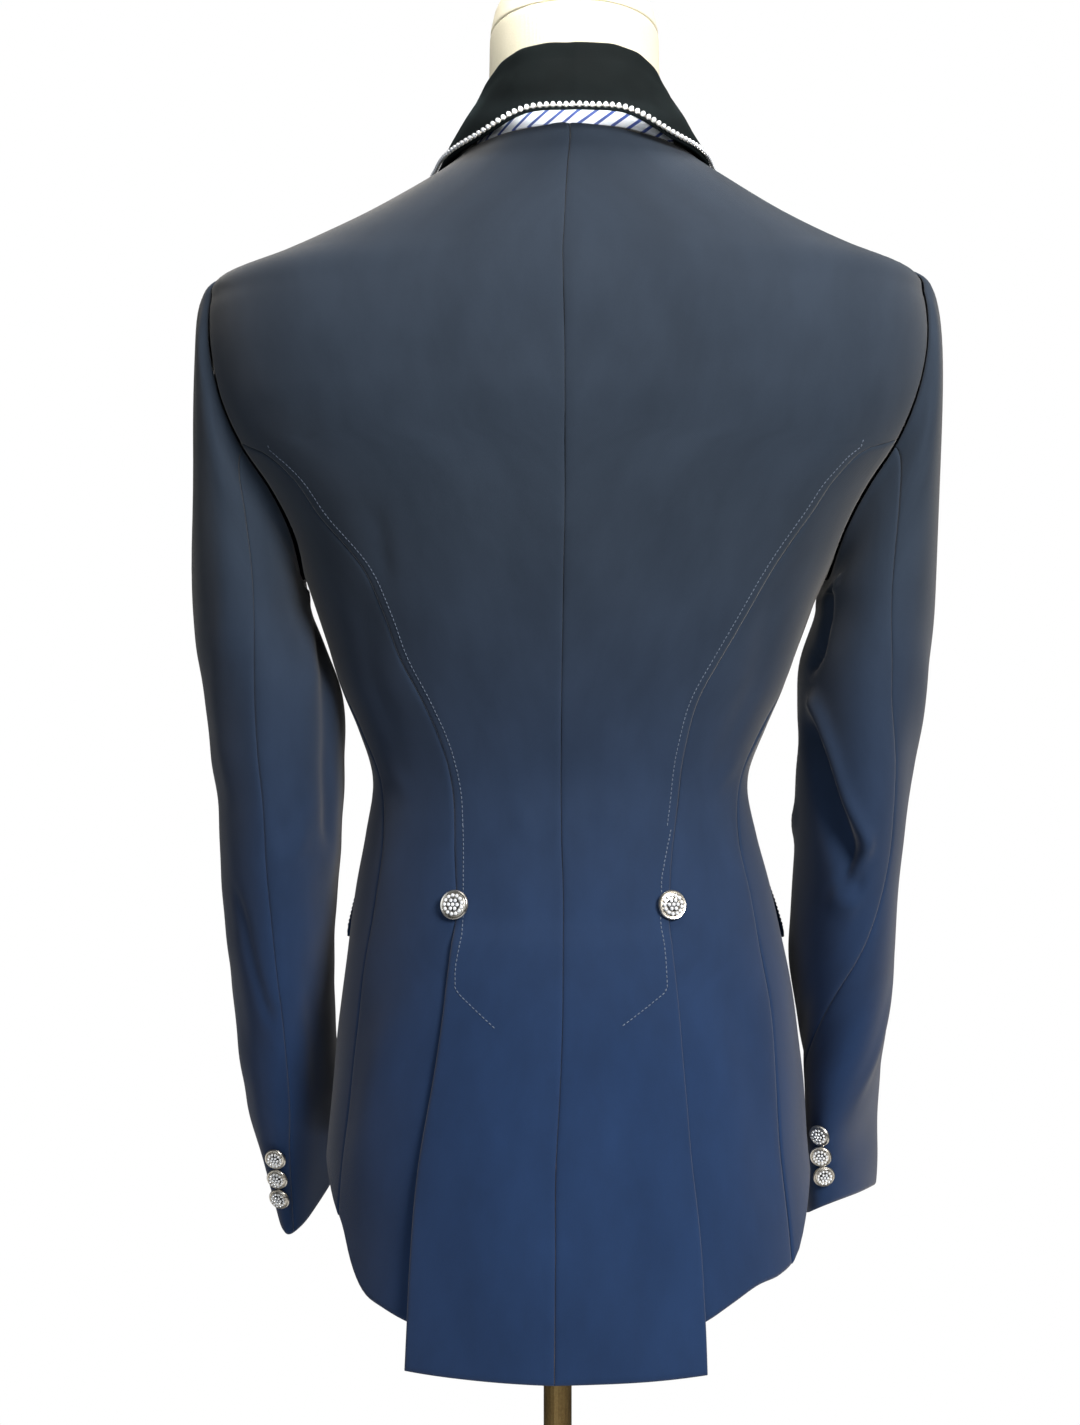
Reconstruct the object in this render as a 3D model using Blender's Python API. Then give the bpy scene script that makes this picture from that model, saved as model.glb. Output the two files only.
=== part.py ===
# A woman's tailored show coat on a limbless dress form. Metres, +Z up.
# The coat's front faces +Y, the wearer's right is +X, and the stand's base rests on z = 0.

import math

import bmesh
import bpy
import numpy as np

# Driving dimensions. Every height in a table is counted from the waist.
WAIST_HEIGHT = 1.10
CLOTH = 0.002
SEAM = 0.0003
CLEAR = 0.0008
NAPE = 0.381
NECK_POINT = 0.369
LEFT_SHOULDER_DROP = 0.0027
LEFT_TIP_DROP = 0.0015
BREAK_POINT = 0.105
FRONT_LAP = 0.018
UNDERLAP = 0.035
VENT_TOP = -0.078
VENT_OPEN = -0.092
FLAP_SPRING = 0.0045
FORM_BOTTOM = -0.200
ARM_PLATE = 0.1975
NECK_SHIFT = 0.0075
BASE_RADIUS = 0.170
POLE_RADIUS = 0.0085
POLE_X = -0.0026
WAIST_BUTTON_RADIUS = 0.0085
CUFF_BUTTON_RADIUS = 0.0067

# Horizontal sections of the coat. back and front are depths from the section's middle line, square is
# the exponent of its superellipse, shift moves it sideways and twist turns the seams round it (radians).
# height, half_width, back, front, middle_y, square, shift, twist
BODY = (
    (-0.345, 0.1530, 0.1520, 0.112, 0.010, 2.40, 0.0045, 0.067),
    (-0.262, 0.1492, 0.1460, 0.111, 0.010, 2.40, 0.0042, 0.062),
    (-0.212, 0.1441, 0.1400, 0.110, 0.009, 2.40, 0.0031, 0.055),
    (-0.172, 0.1404, 0.1330, 0.108, 0.008, 2.40, 0.0036, 0.045),
    (-0.137, 0.1365, 0.1260, 0.106, 0.006, 2.40, 0.0035, 0.035),
    (-0.100, 0.1310, 0.1150, 0.104, 0.004, 2.35, 0.0020, 0.022),
    (-0.067, 0.1250, 0.1030, 0.102, 0.002, 2.30, 0.0010, 0.012),
    (-0.034, 0.1175, 0.0910, 0.100, 0.000, 2.30, -0.0005, 0.006),
    (0.000, 0.1135, 0.0850, 0.098, 0.000, 2.30, -0.0010, 0.005),
    (0.028, 0.1225, 0.0885, 0.106, 0.000, 2.30, -0.0005, 0.008),
    (0.051, 0.1325, 0.0945, 0.116, 0.001, 2.30, 0.0000, 0.012),
    (0.082, 0.1435, 0.1035, 0.126, 0.003, 2.35, 0.0010, 0.016),
    (0.118, 0.1560, 0.1105, 0.126, 0.004, 2.50, 0.0020, 0.020),
    (0.143, 0.1663, 0.1145, 0.121, 0.004, 2.65, 0.0030, 0.023),
    (0.171, 0.1820, 0.1165, 0.114, 0.003, 2.85, 0.0036, 0.026),
    (0.193, 0.1970, 0.1168, 0.108, 0.002, 2.95, 0.0036, 0.026),
    (0.220, 0.2090, 0.1155, 0.101, 0.000, 3.00, 0.0036, 0.027),
    (0.238, 0.2136, 0.1135, 0.096, 0.000, 3.00, 0.0036, 0.028),
    (0.268, 0.2155, 0.1080, 0.086, 0.000, 3.00, 0.0033, 0.030),
    (0.285, 0.2135, 0.1035, 0.079, 0.000, 2.90, 0.0030, 0.033),
    (0.300, 0.2075, 0.0985, 0.072, 0.000, 2.75, 0.0030, 0.036),
    (0.312, 0.1775, 0.0942, 0.066, 0.000, 2.60, 0.0040, 0.040),
    (0.331, 0.1380, 0.0867, 0.058, 0.000, 2.40, 0.0050, 0.045),
    (0.354, 0.0980, 0.0757, 0.052, 0.000, 2.30, 0.0065, 0.050),
    (0.369, 0.0745, 0.0675, 0.048, 0.000, 2.20, 0.0075, 0.052),
    (0.384, 0.0600, 0.0600, 0.045, 0.000, 2.10, 0.0070, 0.052),
    (0.400, 0.0520, 0.0520, 0.040, 0.000, 2.10, 0.0070, 0.052),
)

# Distance of the curved back seam from the centre back seam, down to the flap's corner.
# height, distance
BACK_SEAM = {
    "left": (
        (-0.330, 0.0793),
        (-0.300, 0.0785),
        (-0.232, 0.0760),
        (-0.158, 0.0688),
        (-0.114, 0.0642),
        (-0.081, 0.0609),
        (-0.040, 0.0611),
        (-0.005, 0.0625),
        (0.022, 0.0695),
        (0.044, 0.0795),
        (0.069, 0.0930),
        (0.094, 0.1022),
        (0.120, 0.1146),
        (0.150, 0.1397),
        (0.175, 0.1577),
        (0.1895, 0.1748),
        (0.1975, 0.1890),
    ),
    "right": (
        (-0.330, 0.0818),
        (-0.300, 0.0806),
        (-0.241, 0.0770),
        (-0.158, 0.0674),
        (-0.114, 0.0628),
        (-0.081, 0.0597),
        (-0.046, 0.0622),
        (-0.015, 0.0672),
        (0.018, 0.0712),
        (0.044, 0.0780),
        (0.069, 0.0913),
        (0.094, 0.1053),
        (0.120, 0.1208),
        (0.150, 0.1405),
        (0.175, 0.1578),
        (0.188, 0.1725),
        (0.197, 0.1930),
    ),
}

# Place of the side seam, in degrees round the section from the centre back.
# height, degrees
SIDE_SEAM = (
    (-0.300, 57.0),
    (-0.160, 57.5),
    (-0.125, 59.0),
    (-0.080, 60.8),
    (-0.035, 64.5),
    (0.000, 72.0),
    (0.050, 81.0),
    (0.118, 88.0),
)

# Hem of the side and front panels, and of the back flap, by degrees from the centre back.
# degrees, height
SIDE_HEM = {
    "left": (
        (0.0, -0.302),
        (32.0, -0.299),
        (38.0, -0.294),
        (44.0, -0.288),
        (50.0, -0.273),
        (54.0, -0.2585),
        (61.0, -0.2450),
        (68.0, -0.2340),
        (90.0, -0.2290),
        (180.0, -0.2280),
        (200.0, -0.2280),
    ),
    "right": (
        (0.0, -0.302),
        (32.0, -0.2965),
        (38.0, -0.2890),
        (45.0, -0.2815),
        (52.0, -0.2790),
        (59.0, -0.2725),
        (65.0, -0.2570),
        (70.0, -0.2460),
        (90.0, -0.2330),
        (180.0, -0.2300),
        (200.0, -0.2300),
    ),
}
FLAP_HEM = (
    (0.0, -0.3262),
    (10.0, -0.3250),
    (20.0, -0.3238),
    (36.0, -0.3238),
)

# Armhole: an egg on the body's side, fuller below. Steps round it are in degrees: 0 at the shoulder,
# 90 at the back, 180 under the arm, 270 at the front.
ARMHOLE_MIDDLE = 0.2124
ARMHOLE_HALF_HEIGHT = 0.0938
ARMHOLE_HALF_DEPTH = 0.0555
ARMHOLE_FULLNESS = 0.10
BACK_SEAM_STEP = 99.5
SIDE_SEAM_STEP = 175.0
SLEEVE_SEAM_STEP = 102.0
FRONT_SLEEVE_STEP = 235.0

# Rings of each sleeve, below the armhole. tilt is the drop of a ring's back edge for each metre of depth,
# skew its swing outwards, seam the back seam's place on the ring (0 outer side, 90 back, 180 inner side).
# roll lowers its inner side.
# height, centre_x, centre_y, half_width, half_depth, tilt, skew, roll, seam
SLEEVES = {
    "right": (
        (-0.2710, 0.1780, 0.0670, 0.0198, 0.0530, -0.12, -0.34, 0.36, 136.0),
        (-0.235, 0.1776, 0.0600, 0.0203, 0.0535, 0.04, -0.34, 0.19, 152.0),
        (-0.190, 0.1762, 0.0460, 0.0232, 0.0540, 0.20, -0.22, 0.0, 164.0),
        (-0.155, 0.1740, 0.0340, 0.0270, 0.0550, 0.22, -0.06, 0.0, 142.0),
        (-0.118, 0.1716, 0.0220, 0.0310, 0.0570, 0.20, 0.0, 0.0, 109.0),
        (-0.088, 0.1718, 0.0120, 0.0313, 0.0590, 0.17, 0.0, 0.0, 80.0),
        (-0.045, 0.1733, 0.0010, 0.0315, 0.0620, 0.10, 0.0, 0.0, 57.0),
        (-0.015, 0.1746, -0.0030, 0.0325, 0.0640, 0.05, 0.0, 0.0, 57.0),
        (0.009, 0.1760, -0.0040, 0.0345, 0.0650, 0.02, 0.0, 0.0, 60.0),
        (0.0455, 0.1801, -0.0030, 0.0370, 0.0670, 0.0, 0.0, 0.0, 75.0),
        (0.076, 0.1840, -0.0020, 0.0380, 0.0680, 0.0, 0.0, 0.0, 82.0),
        (0.098, 0.1888, -0.0010, 0.0350, 0.0680, 0.0, 0.0, 0.0, 90.0),
    ),
    "left": (
        (-0.2451, 0.1540, 0.0735, 0.0165, 0.0515, 0.75, 0.26, -0.15, 100.0),
        (-0.220, 0.1645, 0.0570, 0.0242, 0.0525, 0.28, 0.12, 0.0, 103.0),
        (-0.180, 0.1693, 0.0430, 0.0286, 0.0540, 0.26, 0.04, 0.0, 105.0),
        (-0.136, 0.1709, 0.0280, 0.0302, 0.0560, 0.22, 0.0, 0.0, 100.0),
        (-0.106, 0.1717, 0.0170, 0.0320, 0.0580, 0.18, 0.0, 0.0, 97.0),
        (-0.076, 0.1715, 0.0080, 0.0338, 0.0600, 0.15, 0.0, 0.0, 93.0),
        (-0.045, 0.1705, 0.0010, 0.0362, 0.0620, 0.10, 0.0, 0.0, 88.0),
        (-0.015, 0.1697, -0.0030, 0.0371, 0.0640, 0.05, 0.0, 0.0, 85.0),
        (0.009, 0.1713, -0.0040, 0.0392, 0.0650, 0.02, 0.0, 0.0, 84.0),
        (0.0455, 0.1733, -0.0030, 0.0413, 0.0670, 0.0, 0.0, 0.0, 84.0),
        (0.076, 0.1816, -0.0020, 0.0388, 0.0680, 0.0, 0.0, 0.0, 96.0),
        (0.098, 0.1872, -0.0010, 0.0350, 0.0680, 0.0, 0.0, 0.0, 106.0),
    ),
}
SLEEVE_TOP = 0.098
CAP_FULLNESS = {"left": 0.058, "right": 0.075}
# A sleeve's head stands this far off the coat at the shoulder, and its foot under the arm as far as the second.
CAP_STAND = 0.0013
ARMPIT_STAND = 0.0020
CAP_OVERHANG = 0.0011
TOP_SLEEVE_ARC = 210.0
UNDER_SLEEVE_ARC = 150.0

# Half of the collar from the centre back to its front end, mirrored for the other half.
# station, base x, y, height, fold x, y, height, edge x, y, height
COLLAR = (
    (0.00, 0.0000, -0.0590, 0.3825, 0.0000, -0.0545, 0.4270, 0.0000, -0.0765, 0.3834),
    (0.20, 0.0270, -0.0540, 0.3812, 0.0245, -0.0500, 0.4262, 0.0290, -0.0725, 0.3822),
    (0.40, 0.0500, -0.0400, 0.3775, 0.0415, -0.0370, 0.4215, 0.0540, -0.0580, 0.3725),
    (0.58, 0.0660, -0.0210, 0.3750, 0.0525, -0.0170, 0.4130, 0.0735, -0.0330, 0.3680),
    (0.72, 0.0705, 0.0000, 0.3735, 0.0575, 0.0020, 0.4065, 0.0815, -0.0040, 0.3665),
    (0.84, 0.0635, 0.0250, 0.3730, 0.0590, 0.0230, 0.3960, 0.0870, 0.0220, 0.3600),
    (0.92, 0.0585, 0.0430, 0.3620, 0.0585, 0.0420, 0.3800, 0.0885, 0.0460, 0.3420),
    (1.00, 0.0545, 0.0530, 0.3460, 0.0570, 0.0570, 0.3570, 0.0870, 0.0660, 0.3150),
)
BAND_END = 0.46
BAND_HEIGHT = 0.011
CHAIN_RADIUS = 0.0013

# Outer edge of the lapels, as distance from the centre front.
# height, distance
LAPEL_EDGE = (
    (0.112, -0.008),
    (0.130, 0.010),
    (0.170, 0.042),
    (0.210, 0.070),
    (0.250, 0.094),
    (0.290, 0.112),
)

# Dress form above the coat's shoulders.
# height, half_width, back, front, middle_y
FORM_NECK = (
    (0.362, 0.0690, 0.0580, 0.0460, 0.000),
    (0.372, 0.0595, 0.0530, 0.0460, 0.000),
    (0.384, 0.0540, 0.0495, 0.0460, 0.000),
    (0.400, 0.0522, 0.0475, 0.0460, 0.001),
    (0.425, 0.0518, 0.0475, 0.0470, 0.003),
    (0.445, 0.0515, 0.0475, 0.0480, 0.005),
    (0.456, 0.0505, 0.0465, 0.0470, 0.006),
    (0.466, 0.0470, 0.0440, 0.0440, 0.007),
    (0.474, 0.0425, 0.0395, 0.0395, 0.008),
    (0.482, 0.0335, 0.0310, 0.0310, 0.008),
    (0.487, 0.0210, 0.0200, 0.0200, 0.008),
    (0.489, 0.0080, 0.0080, 0.0080, 0.008),
)
NECK_SEAM_HEIGHT = 0.4485
NECK_SEAM_SLOPE = 0.20

WOOL = ((0.030, 0.042, 0.075), 0.85, 0.0)
VELVET = ((0.010, 0.014, 0.016), 0.95, 0.0)
STRIPE = ((0.62, 0.66, 0.78), 0.45, 0.0)
CRYSTAL = ((0.85, 0.88, 0.92), 0.12, 0.6)
SILVER = ((0.72, 0.71, 0.68), 0.25, 1.0)
LINEN = ((0.82, 0.78, 0.66), 0.80, 0.0)
BRASS = ((0.42, 0.31, 0.15), 0.35, 1.0)
IRON = ((0.05, 0.05, 0.05), 0.55, 0.6)


def clear_scene():
    for old in list(bpy.data.objects):
        bpy.data.objects.remove(old, do_unlink=True)


def paint(name, look):
    colour, roughness, metallic = look
    material = bpy.data.materials.new(name)
    material.use_nodes = True
    shader = material.node_tree.nodes["Principled BSDF"]
    shader.inputs["Base Color"].default_value = (*colour, 1.0)
    shader.inputs["Roughness"].default_value = roughness
    shader.inputs["Metallic"].default_value = metallic
    material.diffuse_color = (*colour, 1.0)
    return material


# Curves and surfaces


def curve_through(table):
    # A smooth curve through the rows of a table, read by its first column.
    rows = np.array(table, dtype=float)
    keys = rows[:, 0]
    values = rows[:, 1:]
    slopes = np.gradient(values, keys, axis=0)

    def at(key):
        key = min(max(key, keys[0]), keys[-1])
        row = min(int(np.searchsorted(keys, key, side="right")), len(keys) - 1) - 1
        span = keys[row + 1] - keys[row]
        t = (key - keys[row]) / span
        start = values[row] * (1 + 2 * t) * (1 - t) ** 2 + slopes[row] * span * t * (1 - t) ** 2
        end = values[row + 1] * t * t * (3 - 2 * t) + slopes[row + 1] * span * t * t * (t - 1)
        return start + end

    return at


body_section = curve_through(BODY)
back_seam = {side: curve_through(rows) for side, rows in BACK_SEAM.items()}
side_seam = curve_through(SIDE_SEAM)
side_hem = {side: curve_through(rows) for side, rows in SIDE_HEM.items()}
flap_hem = curve_through(FLAP_HEM)
lapel_edge = curve_through(LAPEL_EDGE)
sleeve_ring = {side: curve_through(rows) for side, rows in SLEEVES.items()}
collar_station = curve_through(COLLAR)
form_neck = curve_through(FORM_NECK)

SIGN = {"left": -1, "right": 1}


def ramp(low, high, value):
    t = min(max((value - low) / (high - low), 0.0), 1.0)
    return t * t * (3 - 2 * t)


def unit(vector):
    return vector / np.linalg.norm(vector)


def radius(angle, half_width, depth, square):
    across = abs(math.sin(angle)) / half_width
    along = abs(math.cos(angle)) / depth
    return (across**square + along**square) ** (-1 / square)


def body_point(turn, height):
    # The coat's outer surface. turn goes round from the centre back, positive to the wearer's right.
    half_width, back, front, middle, square, shift, twist = body_section(height)
    angle = turn - twist
    depth = back if math.cos(angle) > 0 else front
    reach = radius(angle, half_width, depth, square)
    return np.array([shift + reach * math.sin(angle), middle - reach * math.cos(angle), height])


def body_normal(turn, height):
    step = 0.003
    across = body_point(turn + step, height) - body_point(turn - step, height)
    up = body_point(turn, height + step) - body_point(turn, height - step)
    return unit(np.cross(across, up))


def turn_at(x, height, side, on_front):
    # The turn at which the back or the front reaches a given x.
    half_width, back, front, middle, square, shift, twist = body_section(height)
    across = min(max((x - shift) / half_width, -1.0), 1.0)
    share = (1 - abs(across) ** square) ** (1 / square)
    along = -front * share if on_front else back * share
    angle = math.atan2(across * half_width, along)
    if on_front and angle * SIGN[side] < 0:
        angle += SIGN[side] * 2 * math.pi
    return angle + twist


def armhole(side, step):
    t = math.radians(step)
    height = ARMHOLE_MIDDLE + ARMHOLE_HALF_HEIGHT * math.cos(t)
    bulge = math.copysign(abs(math.sin(t)) ** 0.8, math.sin(t))
    y = -ARMHOLE_HALF_DEPTH * bulge * (1 - ARMHOLE_FULLNESS * math.cos(t))
    half_width, back, front, middle, square, shift, twist = body_section(height)
    depth = back if y < 0 else front
    x = half_width * (1 - abs(y / depth) ** square) ** (1 / square)
    return np.array([SIGN[side] * math.atan2(x, -y) + twist, height])


def settle(point):
    # The left shoulder sits a little lower than the right one. Heights become real ones.
    x, y, height = point
    drop = LEFT_SHOULDER_DROP * ramp(0.03, 0.09, -x) + LEFT_TIP_DROP * ramp(0.13, 0.20, -x)
    return np.array([x, y, height - drop * ramp(0.10, 0.28, height) + WAIST_HEIGHT])


# Building closed solids


def make_object(name, vertices, faces, look, smooth=True):
    mesh = bpy.data.meshes.new(name)
    mesh.from_pydata([tuple(v) for v in vertices], [], faces)
    work = bmesh.new()
    work.from_mesh(mesh)
    bmesh.ops.recalc_face_normals(work, faces=work.faces)
    work.to_mesh(mesh)
    work.free()
    mesh.materials.append(paint(name, look))
    if smooth:
        mesh.shade_smooth()
        mesh.set_sharp_from_angle(angle=math.radians(40))
    thing = bpy.data.objects.new(name, mesh)
    bpy.context.scene.collection.objects.link(thing)
    return thing


def trimmed(grid, amount):
    # Moves the four edges of a grid of points inwards, square to each edge.
    result = grid.copy()
    rows, columns = grid.shape[:2]
    for here, inner, along in (
        ((0, slice(None)), (1, slice(None)), 1),
        ((rows - 1, slice(None)), (rows - 2, slice(None)), 1),
        ((slice(None), 0), (slice(None), 1), 0),
        ((slice(None), columns - 1), (slice(None), columns - 2), 0),
    ):
        edge = grid[here]
        tangent = np.gradient(edge, axis=0)
        tangent /= np.linalg.norm(tangent, axis=1)[:, None]
        inward = grid[inner] - edge
        inward -= (inward * tangent).sum(axis=1)[:, None] * tangent
        inward /= np.linalg.norm(inward, axis=1)[:, None]
        result[here] += inward * amount
    return result


def wall(name, outer, inner, look):
    # A closed solid between two grids of points.
    rows, columns = outer.shape[:2]
    count = rows * columns

    def at(row, column):
        return row * columns + column

    faces = []
    for row in range(rows - 1):
        for column in range(columns - 1):
            quad = (at(row, column), at(row, column + 1), at(row + 1, column + 1), at(row + 1, column))
            faces.append(quad)
            faces.append(tuple(count + corner for corner in reversed(quad)))
    rim = [at(0, column) for column in range(columns)]
    rim += [at(row, columns - 1) for row in range(1, rows)]
    rim += [at(rows - 1, column) for column in range(columns - 2, -1, -1)]
    rim += [at(row, 0) for row in range(rows - 2, 0, -1)]
    for place, corner in enumerate(rim):
        following = rim[(place + 1) % len(rim)]
        faces.append((corner, corner + count, following + count, following))
    points = np.concatenate([outer.reshape(-1, 3), inner.reshape(-1, 3)])
    return make_object(name, [settle(point) for point in points], faces, look)


def cloth_on_body(name, grid, look, lift=None, thickness=CLOTH):
    # grid holds (turn, height) pairs. lift gives the distance of the cloth's face from the coat's surface.
    rows = len(grid)
    columns = len(grid[0])
    outer = np.zeros((rows, columns, 3))
    normals = np.zeros((rows, columns, 3))
    for row in range(rows):
        for column in range(columns):
            turn, height = grid[row][column]
            normals[row, column] = body_normal(turn, height)
            away = lift(turn, height) if lift else 0.0
            outer[row, column] = body_point(turn, height) + normals[row, column] * away
    outer = trimmed(outer, SEAM / 2)
    return wall(name, outer, outer - normals * thickness, look)


def rows_between(dense, sparse, columns):
    # A grid whose rows run from one edge to the other, with the columns closer at the first edge.
    shares = [(column / columns) ** 1.4 for column in range(columns + 1)]
    return [[a + (b - a) * share for share in shares] for a, b in zip(dense, sparse)]


def tube(name, sections, look, closed_ends=True):
    # A closed solid swept through rings of points, with flat ends.
    count = len(sections[0])
    faces = []
    for ring in range(len(sections) - 1):
        for corner in range(count):
            following = (corner + 1) % count
            a = ring * count
            b = a + count
            faces.append((a + corner, a + following, b + following, b + corner))
    if closed_ends:
        last = (len(sections) - 1) * count
        faces.append(tuple(range(count - 1, -1, -1)))
        faces.append(tuple(last + corner for corner in range(count)))
    return make_object(name, [p for ring in sections for p in ring], faces, look)


def turned(name, profile, place, direction, segments, look):
    # A solid of revolution. profile rows are (radius, distance along the axis), the ends are closed by points.
    axis = unit(np.array(direction, dtype=float))
    guide = np.array([0.0, 0.0, 1.0]) if abs(axis[2]) < 0.9 else np.array([1.0, 0.0, 0.0])
    first = unit(np.cross(guide, axis))
    second = np.cross(axis, first)
    vertices = [place + axis * profile[0][1]]
    for reach, along in profile[1:-1]:
        for segment in range(segments):
            angle = 2 * math.pi * segment / segments
            spoke = first * math.cos(angle) + second * math.sin(angle)
            vertices.append(place + axis * along + spoke * reach)
    vertices.append(place + axis * profile[-1][1])
    rings = len(profile) - 2
    top = len(vertices) - 1
    faces = []
    for segment in range(segments):
        following = (segment + 1) % segments
        faces.append((0, 1 + following, 1 + segment))
        faces.append((top, top - segments + segment, top - segments + following))
        for ring in range(rings - 1):
            a = 1 + ring * segments
            b = a + segments
            faces.append((a + segment, a + following, b + following, b + segment))
    return make_object(name, vertices, faces, look)


# Body panels

# Heights of the rows on the curved back seam, from the hem up to the armhole.
SEAM_ROWS = (
    -0.3238, -0.285, -0.240, -0.195, -0.155, -0.125, -0.108, VENT_OPEN, VENT_TOP, -0.048, -0.018,
    0.012, 0.038, 0.064, 0.090, 0.114, 0.137, 0.158, 0.176, 0.1895,
)
# Steps round the armhole above the curved seam, then heights up the shoulder seam.
BACK_ARMHOLE_STEPS = (BACK_SEAM_STEP, 85.0, 70.0, 56.0, 42.0, 28.0, 14.0, 0.0)
FRONT_ARMHOLE_STEPS = (190.0, 206.0, 224.0, 243.0, 262.0, 281.0, 301.0, 320.0, 340.0, 360.0)
SHOULDER_ROWS = (0.312, 0.331, 0.350, NECK_POINT)
SIDE_SEAM_TOP = ARMHOLE_MIDDLE + ARMHOLE_HALF_HEIGHT * math.cos(math.radians(SIDE_SEAM_STEP))
SEAM_TOP = ARMHOLE_MIDDLE + ARMHOLE_HALF_HEIGHT * math.cos(math.radians(BACK_SEAM_STEP))
SIDE_SEAM_DEGREES = 57.0


def row_share(row):
    if row == len(SEAM_ROWS):
        return 1.0
    return (SEAM_ROWS[row] - SEAM_ROWS[0]) / (SEAM_TOP - SEAM_ROWS[0])


def centre_back_x(height):
    return body_point(0.0, height)[0]


def centre_front_x(height):
    return body_point(math.pi, height)[0]


def shoulder_seam(side, height):
    return np.array([SIGN[side] * math.pi / 2 + body_section(height)[6], height])


def seam_point(side, height, tuck=0.0):
    x = centre_back_x(height) + SIGN[side] * (back_seam[side](height)[0] - tuck)
    return np.array([turn_at(x, height, side, False), height])


def flap_lift(height):
    # The flap steps over the vents below the buttons and springs a little towards the hem.
    open_share = min(max((VENT_TOP - height) / (VENT_TOP - VENT_OPEN), 0.0), 1.0)
    return (CLOTH + CLEAR) * open_share + FLAP_SPRING * ramp(-0.14, -0.33, height)


def back_panel(side, look):
    outer = [seam_point(side, height) for height in SEAM_ROWS]
    outer += [armhole(side, step) for step in BACK_ARMHOLE_STEPS]
    outer += [shoulder_seam(side, height) for height in SHOULDER_ROWS]
    low = len(SEAM_ROWS)
    hem_drop = flap_hem(0)[0] - SEAM_ROWS[0]
    centre = []
    for row in range(len(outer)):
        if row <= low:
            height = outer[row][1] + hem_drop * (1 - row_share(row)) ** 6
        else:
            height = SEAM_TOP + (NAPE - SEAM_TOP) * (row - low) / (len(outer) - 1 - low)
        centre.append(np.array([0.0, height]))
    grid = rows_between(outer, centre, 8)
    return cloth_on_body("back_" + side, grid, look, lambda turn, height: flap_lift(height))


def side_edge(side, row):
    hem = side_hem[side](SIDE_SEAM_DEGREES)[0]
    if row == len(SEAM_ROWS):
        return armhole(side, SIDE_SEAM_STEP)
    height = hem + (SIDE_SEAM_TOP - hem) * row_share(row)
    return np.array([SIGN[side] * math.radians(side_seam(height)[0]), height])


def vent_edge(side, row):
    # The side panel's back edge: the curved seam, and below the vent's top the underlap.
    if row == len(SEAM_ROWS):
        return armhole(side, BACK_SEAM_STEP)
    height = SEAM_ROWS[row]
    tuck = UNDERLAP * ramp(VENT_OPEN, -0.125, height)
    hem = side_hem[side](10.0)[0]
    share = (height - SEAM_ROWS[0]) / (VENT_OPEN - SEAM_ROWS[0])
    if share < 1:
        height = hem + (VENT_OPEN - hem) * share
    return seam_point(side, height, tuck)


def hem_shift(side, low, up):
    # Brings a straight lower edge to the hem's curve, fading out above it.
    hem_height = side_hem[side](abs(math.degrees(low[0])))[0]
    return (hem_height - low[1]) * (1 - up) ** 4


def side_panel(side, look):
    # Rows between its two seams, with the armhole's curve and the hem's curve worked in.
    columns = 8
    rows = len(SEAM_ROWS) + 1
    back = [vent_edge(side, row) for row in range(rows)]
    front = [side_edge(side, row) for row in range(rows)]
    grid = []
    for row in range(rows):
        up = row_share(row)
        points = []
        for column in range(columns + 1):
            across = column / columns
            point = back[row] + (front[row] - back[row]) * across
            top = armhole(side, BACK_SEAM_STEP + (SIDE_SEAM_STEP - BACK_SEAM_STEP) * across)
            straight_top = back[-1] + (front[-1] - back[-1]) * across
            point = point + (top - straight_top) * up**6
            low = back[0] + (front[0] - back[0]) * across
            point[1] += hem_shift(side, low, up)
            points.append(point)
        grid.append(points)
    return cloth_on_body("side_" + side, grid, look)


def closing_edge(height):
    # Distance of the front edge past the centre front, rounded away at the hem.
    reach = min(max((-0.105 - height) / 0.125, 0.0), 0.99)
    return -FRONT_LAP + 0.080 * (1 - math.sqrt(1 - reach**2))


def roll_line(height):
    # Distance of the lapel's fold from the centre front.
    share = (height - BREAK_POINT) / (NECK_POINT - BREAK_POINT)
    return -FRONT_LAP + (0.0625 + FRONT_LAP) * share


def front_edge(side, height):
    distance = closing_edge(height) if height < BREAK_POINT else roll_line(height)
    x = centre_front_x(height) + SIGN[side] * distance
    return np.array([turn_at(x, height, side, True), height])


def front_lift(side, turn, height):
    # The right front laps over the left one.
    if side == "left":
        return 0.0
    distance = body_point(turn, height)[0] - centre_front_x(height)
    return (CLOTH + CLEAR) * (1 - ramp(0.026, 0.065, distance)) * (1 - ramp(0.15, 0.24, height))


def front_panel(side, look):
    outer = [side_edge(side, row) for row in range(len(SEAM_ROWS) + 1)]
    low = len(outer)
    outer += [armhole(side, step) for step in FRONT_ARMHOLE_STEPS]
    outer += [shoulder_seam(side, height) for height in SHOULDER_ROWS]
    hem = side_hem[side](180.0)[0]
    inner = []
    for row in range(len(outer)):
        if row < low:
            height = hem + (BREAK_POINT - hem) * row_share(row)
        else:
            height = BREAK_POINT + (NECK_POINT - BREAK_POINT) * (row - low + 1) / (len(outer) - low)
        inner.append(front_edge(side, height))
    grid = rows_between(outer, inner, 9)
    for row in range(low):
        for column in range(1, 9):
            grid[row][column][1] += hem_shift(side, grid[0][column], row_share(row))
    return cloth_on_body("front_" + side, grid, look, lambda turn, height: front_lift(side, turn, height))


# Heights at which each lapel leaves the closing.
LAPEL_START = {"left": 0.137, "right": 0.112}
GORGE = 0.334
NOTCH = 0.290


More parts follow.
